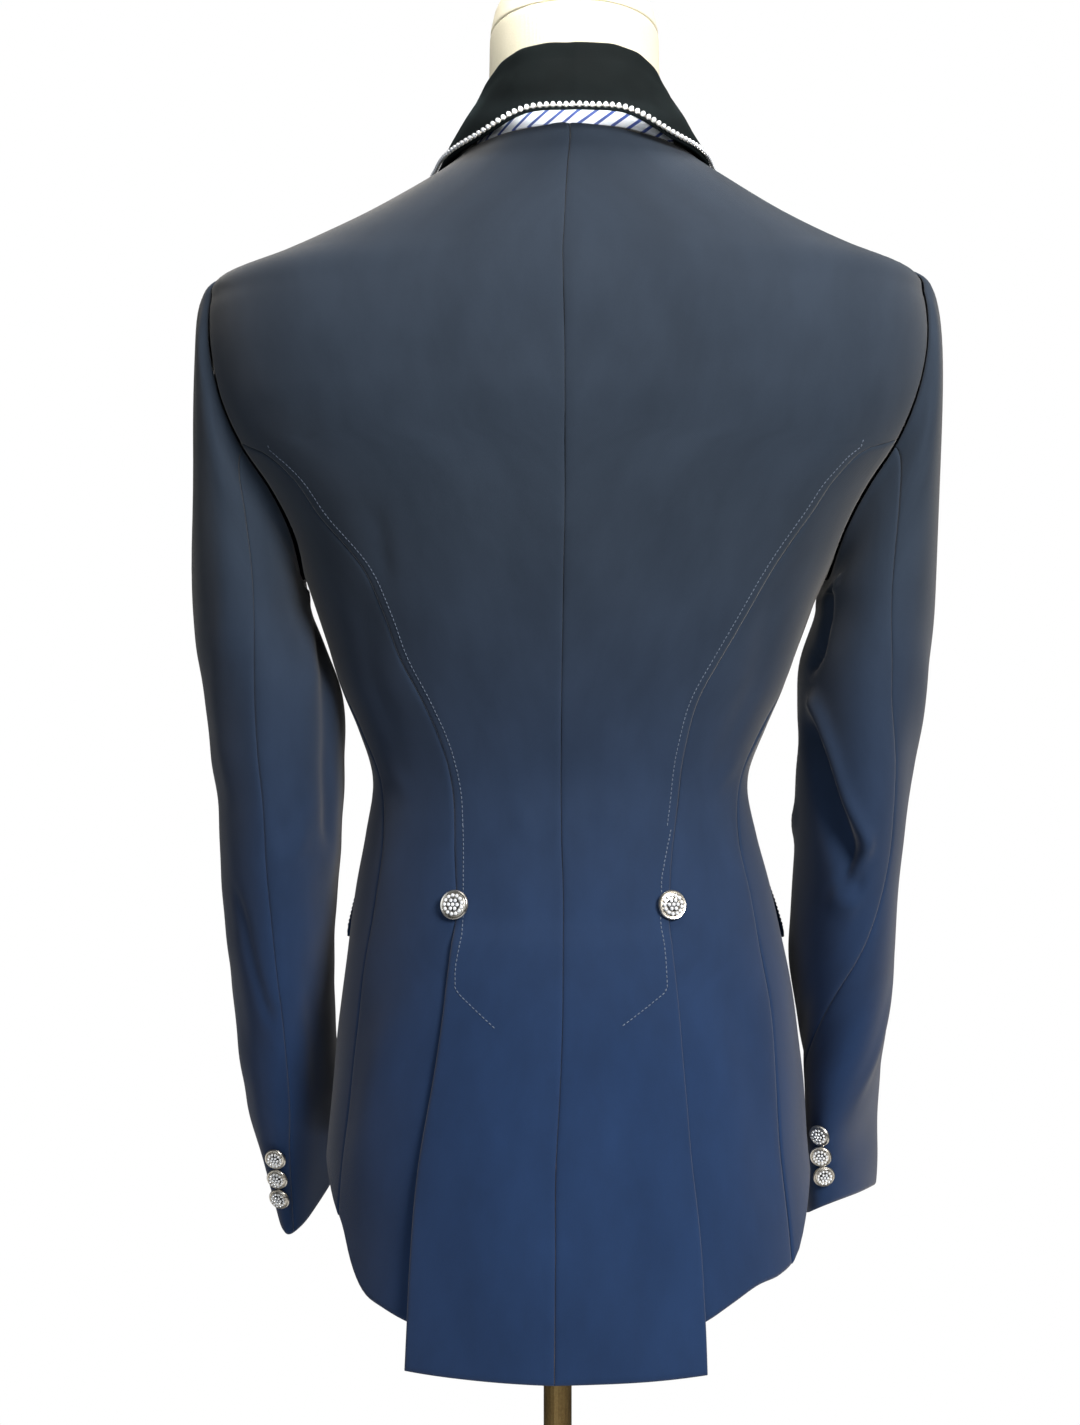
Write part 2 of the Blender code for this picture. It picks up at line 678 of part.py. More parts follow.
def lapel(side, look):
    # Lies on the front from its fold to its outer edge. The left one starts beside the right front's edge.
    rows = 9
    inner = []
    outer = []
    start = LAPEL_START[side]
    for row in range(rows + 1):
        fold_height = start + (GORGE - start) * row / rows
        edge_height = start + (NOTCH - start) * row / rows
        fold = roll_line(fold_height) + 0.001
        if side == "left":
            fold = max(fold, 0.002 - roll_line(fold_height))
        fold_x = centre_front_x(fold_height) + SIGN[side] * fold
        edge_x = centre_front_x(edge_height) + SIGN[side] * lapel_edge(edge_height)[0]
        inner.append(np.array([turn_at(fold_x, fold_height, side, True), fold_height]))
        outer.append(np.array([turn_at(edge_x, edge_height, side, True), edge_height]))
    above = CLOTH + 2 * CLEAR
    grid = rows_between(inner, outer, 5)
    return cloth_on_body(
        "lapel_" + side, grid, look, lambda turn, height: above + front_lift(side, turn, height)
    )


# Corners of a pocket flap. Its back edge runs forward towards the top.
POCKET_TOP = -0.056
POCKET_BOTTOM = -0.099
POCKET_BACK_TOP = 101.0
POCKET_BACK_BOTTOM = 93.0
POCKET_TURN = 52.0


def pocket_lift(side, turn, height):
    hang = 0.0012 * ramp(POCKET_TOP + 0.012, POCKET_BOTTOM, height)
    return CLOTH + 0.0005 + hang + front_lift(side, turn, height)


def pocket_flap(side, look):
    # Sewn along its top, standing a little off below.
    back = []
    front = []
    for row in range(4):
        height = POCKET_TOP + (POCKET_BOTTOM - POCKET_TOP) * row / 3
        turn = POCKET_BACK_TOP + (POCKET_BACK_BOTTOM - POCKET_BACK_TOP) * row / 3
        back.append(np.array([SIGN[side] * math.radians(turn), height]))
        front.append(np.array([SIGN[side] * math.radians(POCKET_BACK_TOP + POCKET_TURN), height + 0.012]))
    return cloth_on_body(
        "pocket_flap_" + side,
        rows_between(back, front, 9),
        look,
        lambda turn, height: pocket_lift(side, turn, height),
    )


# Sleeves


def ring_point(side, angle, height):
    centre_x, centre_y, half_width, half_depth, tilt, skew, roll, seam = sleeve_ring[side](height)
    turn = math.radians(angle)
    y = centre_y - half_depth * math.sin(turn)
    across = half_width * math.cos(turn)
    x = centre_x + across + skew * (centre_y - y)
    return np.array([SIGN[side] * x, y, height + tilt * (y - centre_y) + roll * across])


def sleeve_point(side, share, along):
    # share: 0 at the back seam, 1 at the front seam over the top sleeve, -1 over the under sleeve.
    # along: 0 at the armhole to 1 at the first full ring, and below that 1 + the distance under it.
    if share >= 0:
        step = SLEEVE_SEAM_STEP - (SLEEVE_SEAM_STEP + 360.0 - FRONT_SLEEVE_STEP) * share
        arc = -TOP_SLEEVE_ARC * share
    else:
        step = SLEEVE_SEAM_STEP - (FRONT_SLEEVE_STEP - SLEEVE_SEAM_STEP) * share
        arc = -UNDER_SLEEVE_ARC * share
    height = SLEEVE_TOP - max(along - 1.0, 0.0)
    point = ring_point(side, sleeve_ring[side](height)[7] + arc, height)
    if along >= 1:
        return point
    t = math.radians(step)
    low = (1 - math.cos(t)) / 2
    out = unit(np.array([SIGN[side], -0.3 * math.sin(t), 0.15 * (1 - low) - 1.8 * low**1.3]))
    turn, hole_height = armhole(side, step)
    stand_off = CAP_STAND + (ARMPIT_STAND - CAP_STAND) * low
    start = body_point(turn, hole_height) + body_normal(turn, hole_height) * stand_off
    start += out * CAP_OVERHANG * (1 - low) ** 0.5
    length = np.linalg.norm(point - start)
    first = start + out * (0.003 + CAP_FULLNESS[side] * length)
    second = point + np.array([SIGN[side] * 0.004 * (1 - low), 0.0, 0.5 * length])
    s = along
    return (1 - s) ** 3 * start + 3 * (1 - s) ** 2 * s * first + 3 * (1 - s) * s * s * second + s**3 * point


def sleeve_normal(side, share, along):
    step = 0.004
    low = max(along - step, 0.0)
    across = sleeve_point(side, share + step, along) - sleeve_point(side, share - step, along)
    down = sleeve_point(side, share, along + step) - sleeve_point(side, share, low)
    return unit(np.cross(down, across)) * SIGN[side]


# Rows of a sleeve: shares of the way from the armhole to the first ring, then distances below it.
CAP_ROWS = (0.0, 0.12, 0.25, 0.40, 0.58, 0.78, 1.0)
SLEEVE_STEPS = 11


def sleeve_piece(name, side, direction, columns, look):
    low = SLEEVE_TOP - SLEEVES[side][0][0]
    rows = [*CAP_ROWS, *(1 + low * step / SLEEVE_STEPS for step in range(1, SLEEVE_STEPS + 1))]
    outer = np.zeros((len(rows), columns + 1, 3))
    normals = np.zeros((len(rows), columns + 1, 3))
    for row, along in enumerate(rows):
        for column in range(columns + 1):
            share = direction * column / columns
            outer[row, column] = sleeve_point(side, share, along)
            normals[row, column] = sleeve_normal(side, share, along)
    outer = trimmed(outer, SEAM / 2)
    return wall(name, outer, outer - normals * CLOTH, look)


# Collar


def collar_ring(place):
    # Base, fold and edge of the collar at a station from -1 (left end) to 1 (right end).
    row = collar_station(abs(place))
    sign = 1 if place >= 0 else -1
    points = []
    for first in (0, 3, 6):
        x, y, height = row[first : first + 3]
        points.append(np.array([NECK_SHIFT + sign * x, y, height]))
    return points


def collar_frame(place):
    step = 0.01
    base, fold, edge = collar_ring(place)
    before = collar_ring(max(place - step, -1.0))
    after = collar_ring(min(place + step, 1.0))
    path = unit(after[2] - before[2])
    fall = unit(np.cross(path, fold - edge))
    stand = unit(np.cross(path, fold - base))
    crown = unit(unit(fold - base) + unit(fold - edge))
    return base, fold, edge, stand, fall, crown


def collar(look):
    sections = []
    for place in np.linspace(-1, 1, 33):
        base, fold, edge, stand, fall, crown = collar_frame(place)
        half = CLOTH / 2
        middle = (fold + edge) / 2 + fall * 0.0015
        ring = [
            base - stand * half,
            fold - stand * CLOTH * 0.8,
            fold + crown * CLOTH * 0.7,
            fold + fall * CLOTH * 0.8,
            middle + fall * half,
            edge + fall * half,
            edge - fall * half,
            middle - fall * half,
            fold - crown * CLOTH,
            base + stand * half,
        ]
        sections.append([settle(point) for point in ring])
    return tube("collar", sections, look)


def collar_band(look):
    # Lies on the stand's outer side and shows under the fall at the back.
    sections = []
    for place in np.linspace(-BAND_END, BAND_END, 19):
        base, fold, edge, stand, fall, crown = collar_frame(place)
        up = unit(fold - base)
        near = base + stand * (CLOTH / 2 + 0.0005)
        far = near + stand * 0.001
        ring = [near, near + up * BAND_HEIGHT, far + up * BAND_HEIGHT, far]
        sections.append([settle(point) for point in ring])
    return tube("collar_band", sections, look)


def crystal_chain(look):
    sections = []
    for place in np.linspace(-0.985, 0.985, 51):
        base, fold, edge, stand, fall, crown = collar_frame(place)
        up = unit(fold - edge)
        centre = edge + up * 0.0012 + fall * (CLOTH / 2 + 0.0004 + CHAIN_RADIUS)
        ring = []
        for corner in range(6):
            angle = math.radians(60 * corner + 30)
            ring.append(centre + (fall * math.sin(angle) + up * math.cos(angle)) * CHAIN_RADIUS)
        sections.append([settle(point) for point in ring])
    return tube("crystal_chain", sections, look)


# Buttons


def button(name, surface, normal, seat, size, tip, look):
    # A domed button on a short shank. tip leans its face downwards. seat moves it off the smooth surface,
    # so that it stands 0.3 mm from the flat facets of the cloth.
    direction = unit(normal + np.array([0.0, 0.0, -tip]))
    profile = [
        (0.0, 0.0),
        (0.0022, 0.0),
        (0.0022, 0.0026),
        (size * 0.88, 0.0026),
        (size, 0.0036),
        (size * 0.90, 0.0045),
        (size * 0.50, 0.0051),
        (0.0, 0.0054),
    ]
    place = settle(surface + normal * seat)
    return turned(name, profile, place, direction, 14, look)


WAIST_BUTTON_SEAT = 0.0006


def waist_buttons(look):
    height = -0.0708
    for side in ("left", "right"):
        x = centre_back_x(height) + SIGN[side] * 0.0605
        turn = turn_at(x, height, side, False)
        button(
            "waist_button_" + side,
            body_point(turn, height),
            body_normal(turn, height),
            WAIST_BUTTON_SEAT,
            WAIST_BUTTON_RADIUS,
            0.12,
            look,
        )


# height, seat
FRONT_BUTTONS = ((0.083, -0.0001), (0.013, 0.0003), (-0.057, -0.0002))


def front_buttons(look):
    for number, (height, seat) in enumerate(FRONT_BUTTONS, start=1):
        turn = math.pi
        lift = front_lift("right", turn, height)
        normal = body_normal(turn, height)
        surface = body_point(turn, height) + normal * lift
        button("front_button_%d" % number, surface, normal, seat, WAIST_BUTTON_RADIUS, 0.0, look)


# Highest cuff button's ring, its degrees before the back seam, and the buttons' seat.
CUFF_BUTTONS = {"right": (-0.2100, 59.0, -0.0001), "left": (-0.2185, 19.0, 0.0002)}
CUFF_BUTTON_SPACING = 0.0137


def spaced_below(side, share, along, distance):
    # The place down the sleeve at a given distance from another one.
    start = sleeve_point(side, share, along)
    while np.linalg.norm(sleeve_point(side, share, along) - start) < distance:
        along += 0.0002
    return along


def cuff_buttons(side, look):
    top, before_seam, seat = CUFF_BUTTONS[side]
    share = before_seam / TOP_SLEEVE_ARC
    along = 1 + SLEEVE_TOP - top
    for number in range(3):
        button(
            "cuff_button_%s_%d" % (side, number + 1),
            sleeve_point(side, share, along),
            sleeve_normal(side, share, along),
            seat,
            CUFF_BUTTON_RADIUS,
            0.0,
            look,
        )
        along = spaced_below(side, share, along, CUFF_BUTTON_SPACING)


# Dress form and stand

# Gaps between the cloth and the form: at the shoulders, more at the waist, over the blades and the chest.
SHOULDER_EASE = 0.0014
WAIST_EASE = 0.0040
BLADE_EASE = 0.0026
CHEST_EASE = 0.0016


def form_ease(angle, height):
    # The form fills the coat's shoulders and stands clear of it lower down and over the shoulder blades.
    middle = ramp(0.20, 0.26, height) * (1 - ramp(0.305, 0.33, height))
    middle *= BLADE_EASE if math.cos(angle) > 0 else CHEST_EASE
    return SHOULDER_EASE + WAIST_EASE * (1 - ramp(0.16, 0.30, height)) + middle


def form_ring(height, segments):
    ring = []
    for segment in range(segments):
        angle = 2 * math.pi * segment / segments
        if height < FORM_NECK[0][0]:
            inset = CLOTH + form_ease(angle, height)
            inward = -body_normal(angle, height)
            if height < 0:
                inward = unit(inward * (1, 1, 0))
            x, y, z = body_point(angle, height) + inward * inset
            x = min(max(x, -ARM_PLATE), ARM_PLATE)
        else:
            half_width, back, front, middle = form_neck(height)
            depth = back if math.cos(angle) > 0 else front
            reach = radius(angle, half_width, depth, 2.1)
            x = NECK_SHIFT + reach * math.sin(angle)
            y = middle - reach * math.cos(angle)
            z = height
        ring.append(np.array([x, y, z]))
    return ring


def form_heights():
    body = list(np.linspace(FORM_BOTTOM, 0.10, 9))
    body += [0.135, 0.17, 0.20, 0.23, 0.255, 0.275, 0.289, 0.299, 0.310, 0.324, 0.338, 0.351]
    return body


def neck_seam(point):
    # Height of the slanted seam between the neck and its cap, lower in front.
    return NECK_SEAM_HEIGHT - NECK_SEAM_SLOPE * point[1]


def form_torso(look):
    segments = 44
    sections = [[settle(p) for p in form_ring(height, segments)] for height in form_heights()]
    for height in (0.363, 0.372, 0.384, 0.410):
        sections.append([settle(p) for p in form_ring(height, segments)])
    rim = []
    for point in form_ring(NECK_SEAM_HEIGHT, segments):
        rim.append(settle(np.array([point[0], point[1], neck_seam(point)])))
    sections.append(rim)
    return tube("form_torso", sections, look)


def form_neck_cap(look):
    segments = 44
    rim = []
    for point in form_ring(NECK_SEAM_HEIGHT, segments):
        rim.append(settle(np.array([point[0], point[1], neck_seam(point) + SEAM])))
    sections = [rim]
    for height in (0.463, 0.471, 0.479, 0.485, 0.489):
        sections.append([settle(p) for p in form_ring(height, segments)])
    return tube("form_neck_cap", sections, look)


SOCKET_HEIGHT = 0.035
BASE_HEIGHT = 0.024
FERRULE_HEIGHT = 0.030


def stand(brass, iron):
    bottom = WAIST_HEIGHT + FORM_BOTTOM
    socket_foot = bottom - SEAM - SOCKET_HEIGHT
    origin = np.array([POLE_X, 0.0, 0.0])
    up = (0.0, 0.0, 1.0)
    socket = [
        (0.0, socket_foot),
        (0.016, socket_foot),
        (0.020, socket_foot + 0.004),
        (0.020, bottom - SEAM - 0.006),
        (0.034, bottom - SEAM - 0.003),
        (0.034, bottom - SEAM),
        (0.0, bottom - SEAM),
    ]
    turned("pole_socket", socket, origin, up, 24, brass)
    pole_top = socket_foot - SEAM
    ferrule_foot = BASE_HEIGHT + SEAM
    ferrule_top = ferrule_foot + FERRULE_HEIGHT
    pole_foot = ferrule_top + SEAM
    pole = [(0.0, pole_foot), (POLE_RADIUS, pole_foot), (POLE_RADIUS, pole_top), (0.0, pole_top)]
    turned("pole", pole, origin, up, 24, brass)
    base = [
        (0.0, 0.0),
        (BASE_RADIUS, 0.0),
        (BASE_RADIUS, 0.010),
        (BASE_RADIUS - 0.006, 0.014),
        (0.040, BASE_HEIGHT),
        (0.0, BASE_HEIGHT),
    ]
    turned("base", base, origin, up, 40, iron)
    ferrule = [
        (0.0, ferrule_foot),
        (0.020, ferrule_foot),
        (0.018, ferrule_foot + 0.006),
        (0.014, ferrule_top),
        (0.0, ferrule_top),
    ]
    turned("base_ferrule", ferrule, origin, up, 24, iron)


def build():
    clear_scene()
    for side in ("left", "right"):
        back_panel(side, WOOL)
        side_panel(side, WOOL)
        front_panel(side, WOOL)
        lapel(side, WOOL)
        pocket_flap(side, WOOL)
        sleeve_piece("top_sleeve_" + side, side, 1, 13, WOOL)
        sleeve_piece("under_sleeve_" + side, side, -1, 8, WOOL)
        cuff_buttons(side, SILVER)
    collar(VELVET)
    collar_band(STRIPE)
    crystal_chain(CRYSTAL)
    waist_buttons(SILVER)
    front_buttons(SILVER)
    form_torso(LINEN)
    form_neck_cap(LINEN)
    stand(BRASS, IRON)


build()
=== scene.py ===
import bpy
import math
import numpy as np
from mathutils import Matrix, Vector
from mathutils.bvhtree import BVHTree


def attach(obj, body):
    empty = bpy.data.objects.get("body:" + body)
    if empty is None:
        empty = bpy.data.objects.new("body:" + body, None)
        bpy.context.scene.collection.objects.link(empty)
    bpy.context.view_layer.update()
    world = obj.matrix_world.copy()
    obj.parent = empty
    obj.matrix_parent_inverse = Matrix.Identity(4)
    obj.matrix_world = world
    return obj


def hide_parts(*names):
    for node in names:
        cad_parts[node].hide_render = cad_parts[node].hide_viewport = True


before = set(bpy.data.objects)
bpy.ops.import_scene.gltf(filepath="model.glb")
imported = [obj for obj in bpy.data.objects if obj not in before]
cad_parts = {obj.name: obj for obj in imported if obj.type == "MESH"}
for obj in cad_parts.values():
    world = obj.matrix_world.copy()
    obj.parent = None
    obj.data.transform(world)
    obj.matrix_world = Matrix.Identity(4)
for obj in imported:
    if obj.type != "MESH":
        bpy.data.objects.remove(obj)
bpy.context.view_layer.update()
scene = bpy.context.scene
print("coat: frame loaded,", len(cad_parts), "nodes")

# Sizes that the solids use, in metres. Heights in the tables are counted from the waist.
coat = {
    "waistHeight": 1.10,
    "cloth": 0.002,
    "seamGap": 0.00006,
    "nape": 0.381,
    "neckPoint": 0.369,
    "leftShoulderDrop": 0.0027,
    "leftTipDrop": 0.0015,
    "breakPoint": 0.105,
    "frontLap": 0.018,
    "underlap": 0.035,
    "ventTop": -0.078,
    "ventOpen": -0.092,
    "flapSpring": 0.0045,
    "gap": 0.0008,
}
sign = {"left": -1, "right": 1}

# height, halfWidth, back, front, middleY, square, shift, twist
bodyTable = (
    (-0.345, 0.1530, 0.1520, 0.112, 0.010, 2.40, 0.0045, 0.067),
    (-0.262, 0.1492, 0.1460, 0.111, 0.010, 2.40, 0.0042, 0.062),
    (-0.212, 0.1441, 0.1400, 0.110, 0.009, 2.40, 0.0031, 0.055),
    (-0.172, 0.1404, 0.1330, 0.108, 0.008, 2.40, 0.0036, 0.045),
    (-0.137, 0.1365, 0.1260, 0.106, 0.006, 2.40, 0.0035, 0.035),
    (-0.100, 0.1310, 0.1150, 0.104, 0.004, 2.35, 0.0020, 0.022),
    (-0.067, 0.1250, 0.1030, 0.102, 0.002, 2.30, 0.0010, 0.012),
    (-0.034, 0.1175, 0.0910, 0.100, 0.000, 2.30, -0.0005, 0.006),
    (0.000, 0.1135, 0.0850, 0.098, 0.000, 2.30, -0.0010, 0.005),
    (0.028, 0.1225, 0.0885, 0.106, 0.000, 2.30, -0.0005, 0.008),
    (0.051, 0.1325, 0.0945, 0.116, 0.001, 2.30, 0.0000, 0.012),
    (0.082, 0.1435, 0.1035, 0.126, 0.003, 2.35, 0.0010, 0.016),
    (0.118, 0.1560, 0.1105, 0.126, 0.004, 2.50, 0.0020, 0.020),
    (0.143, 0.1663, 0.1145, 0.121, 0.004, 2.65, 0.0030, 0.023),
    (0.171, 0.1820, 0.1165, 0.114, 0.003, 2.85, 0.0036, 0.026),
    (0.193, 0.1970, 0.1168, 0.108, 0.002, 2.95, 0.0036, 0.026),
    (0.220, 0.2090, 0.1155, 0.101, 0.000, 3.00, 0.0036, 0.027),
    (0.238, 0.2136, 0.1135, 0.096, 0.000, 3.00, 0.0036, 0.028),
    (0.268, 0.2155, 0.1080, 0.086, 0.000, 3.00, 0.0033, 0.030),
    (0.285, 0.2135, 0.1035, 0.079, 0.000, 2.90, 0.0030, 0.033),
    (0.300, 0.2075, 0.0985, 0.072, 0.000, 2.75, 0.0030, 0.036),
    (0.312, 0.1775, 0.0942, 0.066, 0.000, 2.60, 0.0040, 0.040),
    (0.331, 0.1380, 0.0867, 0.058, 0.000, 2.40, 0.0050, 0.045),
    (0.354, 0.0980, 0.0757, 0.052, 0.000, 2.30, 0.0065, 0.050),
    (0.369, 0.0745, 0.0675, 0.048, 0.000, 2.20, 0.0075, 0.052),
    (0.384, 0.0600, 0.0600, 0.045, 0.000, 2.10, 0.0070, 0.052),
    (0.400, 0.0520, 0.0520, 0.040, 0.000, 2.10, 0.0070, 0.052),
)

# Curved back seams: height, distance from the centre back seam
backSeamTable = {
    "left": (
        (-0.330, 0.0793), (-0.300, 0.0785), (-0.232, 0.0760), (-0.158, 0.0688), (-0.114, 0.0642),
        (-0.081, 0.0609), (-0.040, 0.0611), (-0.005, 0.0625), (0.022, 0.0695), (0.044, 0.0795),
        (0.069, 0.0930), (0.094, 0.1022), (0.120, 0.1146), (0.150, 0.1397), (0.175, 0.1577),
        (0.1895, 0.1748), (0.1975, 0.1890),
    ),
    "right": (
        (-0.330, 0.0818), (-0.300, 0.0806), (-0.241, 0.0770), (-0.158, 0.0674), (-0.114, 0.0628),
        (-0.081, 0.0597), (-0.046, 0.0622), (-0.015, 0.0672), (0.018, 0.0712), (0.044, 0.0780),
        (0.069, 0.0913), (0.094, 0.1053), (0.120, 0.1208), (0.150, 0.1405), (0.175, 0.1578),
        (0.188, 0.1725), (0.197, 0.1930),
    ),
}
# Side seams: height, degrees from the centre back
sideSeamTable = (
    (-0.300, 57.0), (-0.160, 57.5), (-0.125, 59.0), (-0.080, 60.8),
    (-0.035, 64.5), (0.000, 72.0), (0.050, 81.0), (0.118, 88.0),
)
# Hems: degrees from the centre back, height
sideHemTable = {
    "left": (
        (0.0, -0.302), (32.0, -0.299), (38.0, -0.294), (44.0, -0.288), (50.0, -0.273), (54.0, -0.2585),
        (61.0, -0.2450), (68.0, -0.2340), (90.0, -0.2290), (180.0, -0.2280), (200.0, -0.2280),
    ),
    "right": (
        (0.0, -0.302), (32.0, -0.2965), (38.0, -0.2890), (45.0, -0.2815), (52.0, -0.2790), (59.0, -0.2725),
        (65.0, -0.2570), (70.0, -0.2460), (90.0, -0.2330), (180.0, -0.2300), (200.0, -0.2300),
    ),
}
flapHemCentre = -0.3262

armhole = {
    "middle": 0.2124, "halfHeight": 0.0938, "halfDepth": 0.0555, "fullness": 0.10,
    "backSeam": 99.5, "sideSeam": 175.0, "sleeveSeam": 102.0, "frontSleeve": 235.0,
}

# Sleeve rings: height, centreX, centreY, halfWidth, halfDepth, tilt, skew, roll, seam
sleeveTable = {
    "right": (
        (-0.2710, 0.1780, 0.0670, 0.0198, 0.0530, -0.12, -0.34, 0.36, 136.0),
        (-0.235, 0.1776, 0.0600, 0.0203, 0.0535, 0.04, -0.34, 0.19, 152.0),
        (-0.190, 0.1762, 0.0460, 0.0232, 0.0540, 0.20, -0.22, 0.0, 164.0),
        (-0.155, 0.1740, 0.0340, 0.0270, 0.0550, 0.22, -0.06, 0.0, 142.0),
        (-0.118, 0.1716, 0.0220, 0.0310, 0.0570, 0.20, 0.0, 0.0, 109.0),
        (-0.088, 0.1718, 0.0120, 0.0313, 0.0590, 0.17, 0.0, 0.0, 80.0),
        (-0.045, 0.1733, 0.0010, 0.0315, 0.0620, 0.10, 0.0, 0.0, 57.0),
        (-0.015, 0.1746, -0.0030, 0.0325, 0.0640, 0.05, 0.0, 0.0, 57.0),
        (0.009, 0.1760, -0.0040, 0.0345, 0.0650, 0.02, 0.0, 0.0, 60.0),
        (0.0455, 0.1801, -0.0030, 0.0370, 0.0670, 0.0, 0.0, 0.0, 75.0),
        (0.076, 0.1840, -0.0020, 0.0380, 0.0680, 0.0, 0.0, 0.0, 82.0),
        (0.098, 0.1888, -0.0010, 0.0350, 0.0680, 0.0, 0.0, 0.0, 90.0),
    ),
    "left": (
        (-0.2451, 0.1540, 0.0735, 0.0165, 0.0515, 0.75, 0.26, -0.15, 100.0),
        (-0.220, 0.1645, 0.0570, 0.0242, 0.0525, 0.28, 0.12, 0.0, 103.0),
        (-0.180, 0.1693, 0.0430, 0.0286, 0.0540, 0.26, 0.04, 0.0, 105.0),
        (-0.136, 0.1709, 0.0280, 0.0302, 0.0560, 0.22, 0.0, 0.0, 100.0),
        (-0.106, 0.1717, 0.0170, 0.0320, 0.0580, 0.18, 0.0, 0.0, 97.0),
        (-0.076, 0.1715, 0.0080, 0.0338, 0.0600, 0.15, 0.0, 0.0, 93.0),
        (-0.045, 0.1705, 0.0010, 0.0362, 0.0620, 0.10, 0.0, 0.0, 88.0),
        (-0.015, 0.1697, -0.0030, 0.0371, 0.0640, 0.05, 0.0, 0.0, 85.0),
        (0.009, 0.1713, -0.0040, 0.0392, 0.0650, 0.02, 0.0, 0.0, 84.0),
        (0.0455, 0.1733, -0.0030, 0.0413, 0.0670, 0.0, 0.0, 0.0, 84.0),
        (0.076, 0.1816, -0.0020, 0.0388, 0.0680, 0.0, 0.0, 0.0, 96.0),
        (0.098, 0.1872, -0.0010, 0.0350, 0.0680, 0.0, 0.0, 0.0, 106.0),
    ),
}
sleeve = {
    "top": 0.098, "capStand": 0.0003, "armpitStand": 0.0020, "overhang": 0.0002,
    "topArc": 210.0, "underArc": 150.0, "fullness": {"left": 0.058, "right": 0.075},
}

# Half collar: station, base x y height, fold x y height, edge x y height
collarTable = (
    (0.00, 0.0000, -0.0590, 0.3825, 0.0000, -0.0545, 0.4270, 0.0000, -0.0765, 0.3834),
    (0.20, 0.0270, -0.0540, 0.3812, 0.0245, -0.0500, 0.4262, 0.0290, -0.0725, 0.3822),
    (0.40, 0.0500, -0.0400, 0.3775, 0.0415, -0.0370, 0.4215, 0.0540, -0.0580, 0.3725),
    (0.58, 0.0660, -0.0210, 0.3750, 0.0525, -0.0170, 0.4130, 0.0735, -0.0330, 0.3680),
    (0.72, 0.0705, 0.0000, 0.3735, 0.0575, 0.0020, 0.4065, 0.0815, -0.0040, 0.3665),
    (0.84, 0.0635, 0.0250, 0.3730, 0.0590, 0.0230, 0.3960, 0.0870, 0.0220, 0.3600),
    (0.92, 0.0585, 0.0430, 0.3620, 0.0585, 0.0420, 0.3800, 0.0885, 0.0460, 0.3420),
    (1.00, 0.0545, 0.0530, 0.3460, 0.0570, 0.0570, 0.3570, 0.0870, 0.0660, 0.3150),
)
neckShift = 0.0075

# Lapel's outer edge: height, distance from the centre front
lapelTable = ((0.112, -0.008), (0.130, 0.010), (0.170, 0.042), (0.210, 0.070), (0.250, 0.094), (0.290, 0.112))

# Form's neck: height, halfWidth, back, front, middleY
neckTable = (
    (0.362, 0.0690, 0.0580, 0.0460, 0.000),
    (0.372, 0.0595, 0.0530, 0.0460, 0.000),
    (0.384, 0.0540, 0.0495, 0.0460, 0.000),
    (0.400, 0.0522, 0.0475, 0.0460, 0.001),
    (0.425, 0.0518, 0.0475, 0.0470, 0.003),
    (0.445, 0.0515, 0.0475, 0.0480, 0.005),
    (0.456, 0.0505, 0.0465, 0.0470, 0.006),
    (0.466, 0.0470, 0.0440, 0.0440, 0.007),
    (0.474, 0.0425, 0.0395, 0.0395, 0.008),
    (0.482, 0.0335, 0.0310, 0.0310, 0.008),
    (0.487, 0.0210, 0.0200, 0.0200, 0.008),
    (0.489, 0.0080, 0.0080, 0.0080, 0.008),
)


# Curves and surfaces, all reading arrays

def curveThrough(table):
    rows = np.array(table, dtype=float)
    keys = rows[:, 0]
    values = rows[:, 1:]
    slopes = np.gradient(values, keys, axis=0)

    def at(key):
        key = np.clip(np.asarray(key, dtype=float), keys[0], keys[-1])
        row = np.clip(np.searchsorted(keys, key, side="right"), 1, len(keys) - 1) - 1
        span = (keys[row + 1] - keys[row])[..., None]
        t = (key - keys[row])[..., None] / span
        start = values[row] * (1 + 2 * t) * (1 - t) ** 2 + slopes[row] * span * t * (1 - t) ** 2
        end = values[row + 1] * t * t * (3 - 2 * t) + slopes[row + 1] * span * t * t * (t - 1)
        return start + end

    return at


bodySection = curveThrough(bodyTable)
backSeam = {side: curveThrough(rows) for side, rows in backSeamTable.items()}
sideSeam = curveThrough(sideSeamTable)
sideHem = {side: curveThrough(rows) for side, rows in sideHemTable.items()}
lapelEdge = curveThrough(lapelTable)
sleeveRing = {side: curveThrough(rows) for side, rows in sleeveTable.items()}
collarStation = curveThrough(collarTable)
neckSection = curveThrough(neckTable)


def ramp(low, high, value):
    t = np.clip((np.asarray(value, dtype=float) - low) / (high - low), 0.0, 1.0)
    return t * t * (3 - 2 * t)


def unit(vectors):
    return vectors / np.maximum(np.linalg.norm(vectors, axis=-1, keepdims=True), 1e-12)


def reachOf(angle, halfWidth, depth, square):
    across = np.abs(np.sin(angle)) / halfWidth
    along = np.abs(np.cos(angle)) / depth
    return (across**square + along**square) ** (-1 / square)


def runOf(line):
    # Lengths from the start of a line to each of its points.
    return np.concatenate([[0], np.cumsum(np.linalg.norm(np.diff(line, axis=0), axis=-1))])


def valueAt(at, lengths, values):
    return np.array([np.interp(at, lengths, values[:, axis]) for axis in range(values.shape[1])])


def bodyPoint(turn, height):
    turn, height = np.broadcast_arrays(np.asarray(turn, dtype=float), np.asarray(height, dtype=float))
    halfWidth, back, front, middle, square, shift, twist = np.moveaxis(bodySection(height), -1, 0)
    angle = turn - twist
    reach = reachOf(angle, halfWidth, np.where(np.cos(angle) > 0, back, front), square)
    return np.stack([shift + reach * np.sin(angle), middle - reach * np.cos(angle), height], axis=-1)


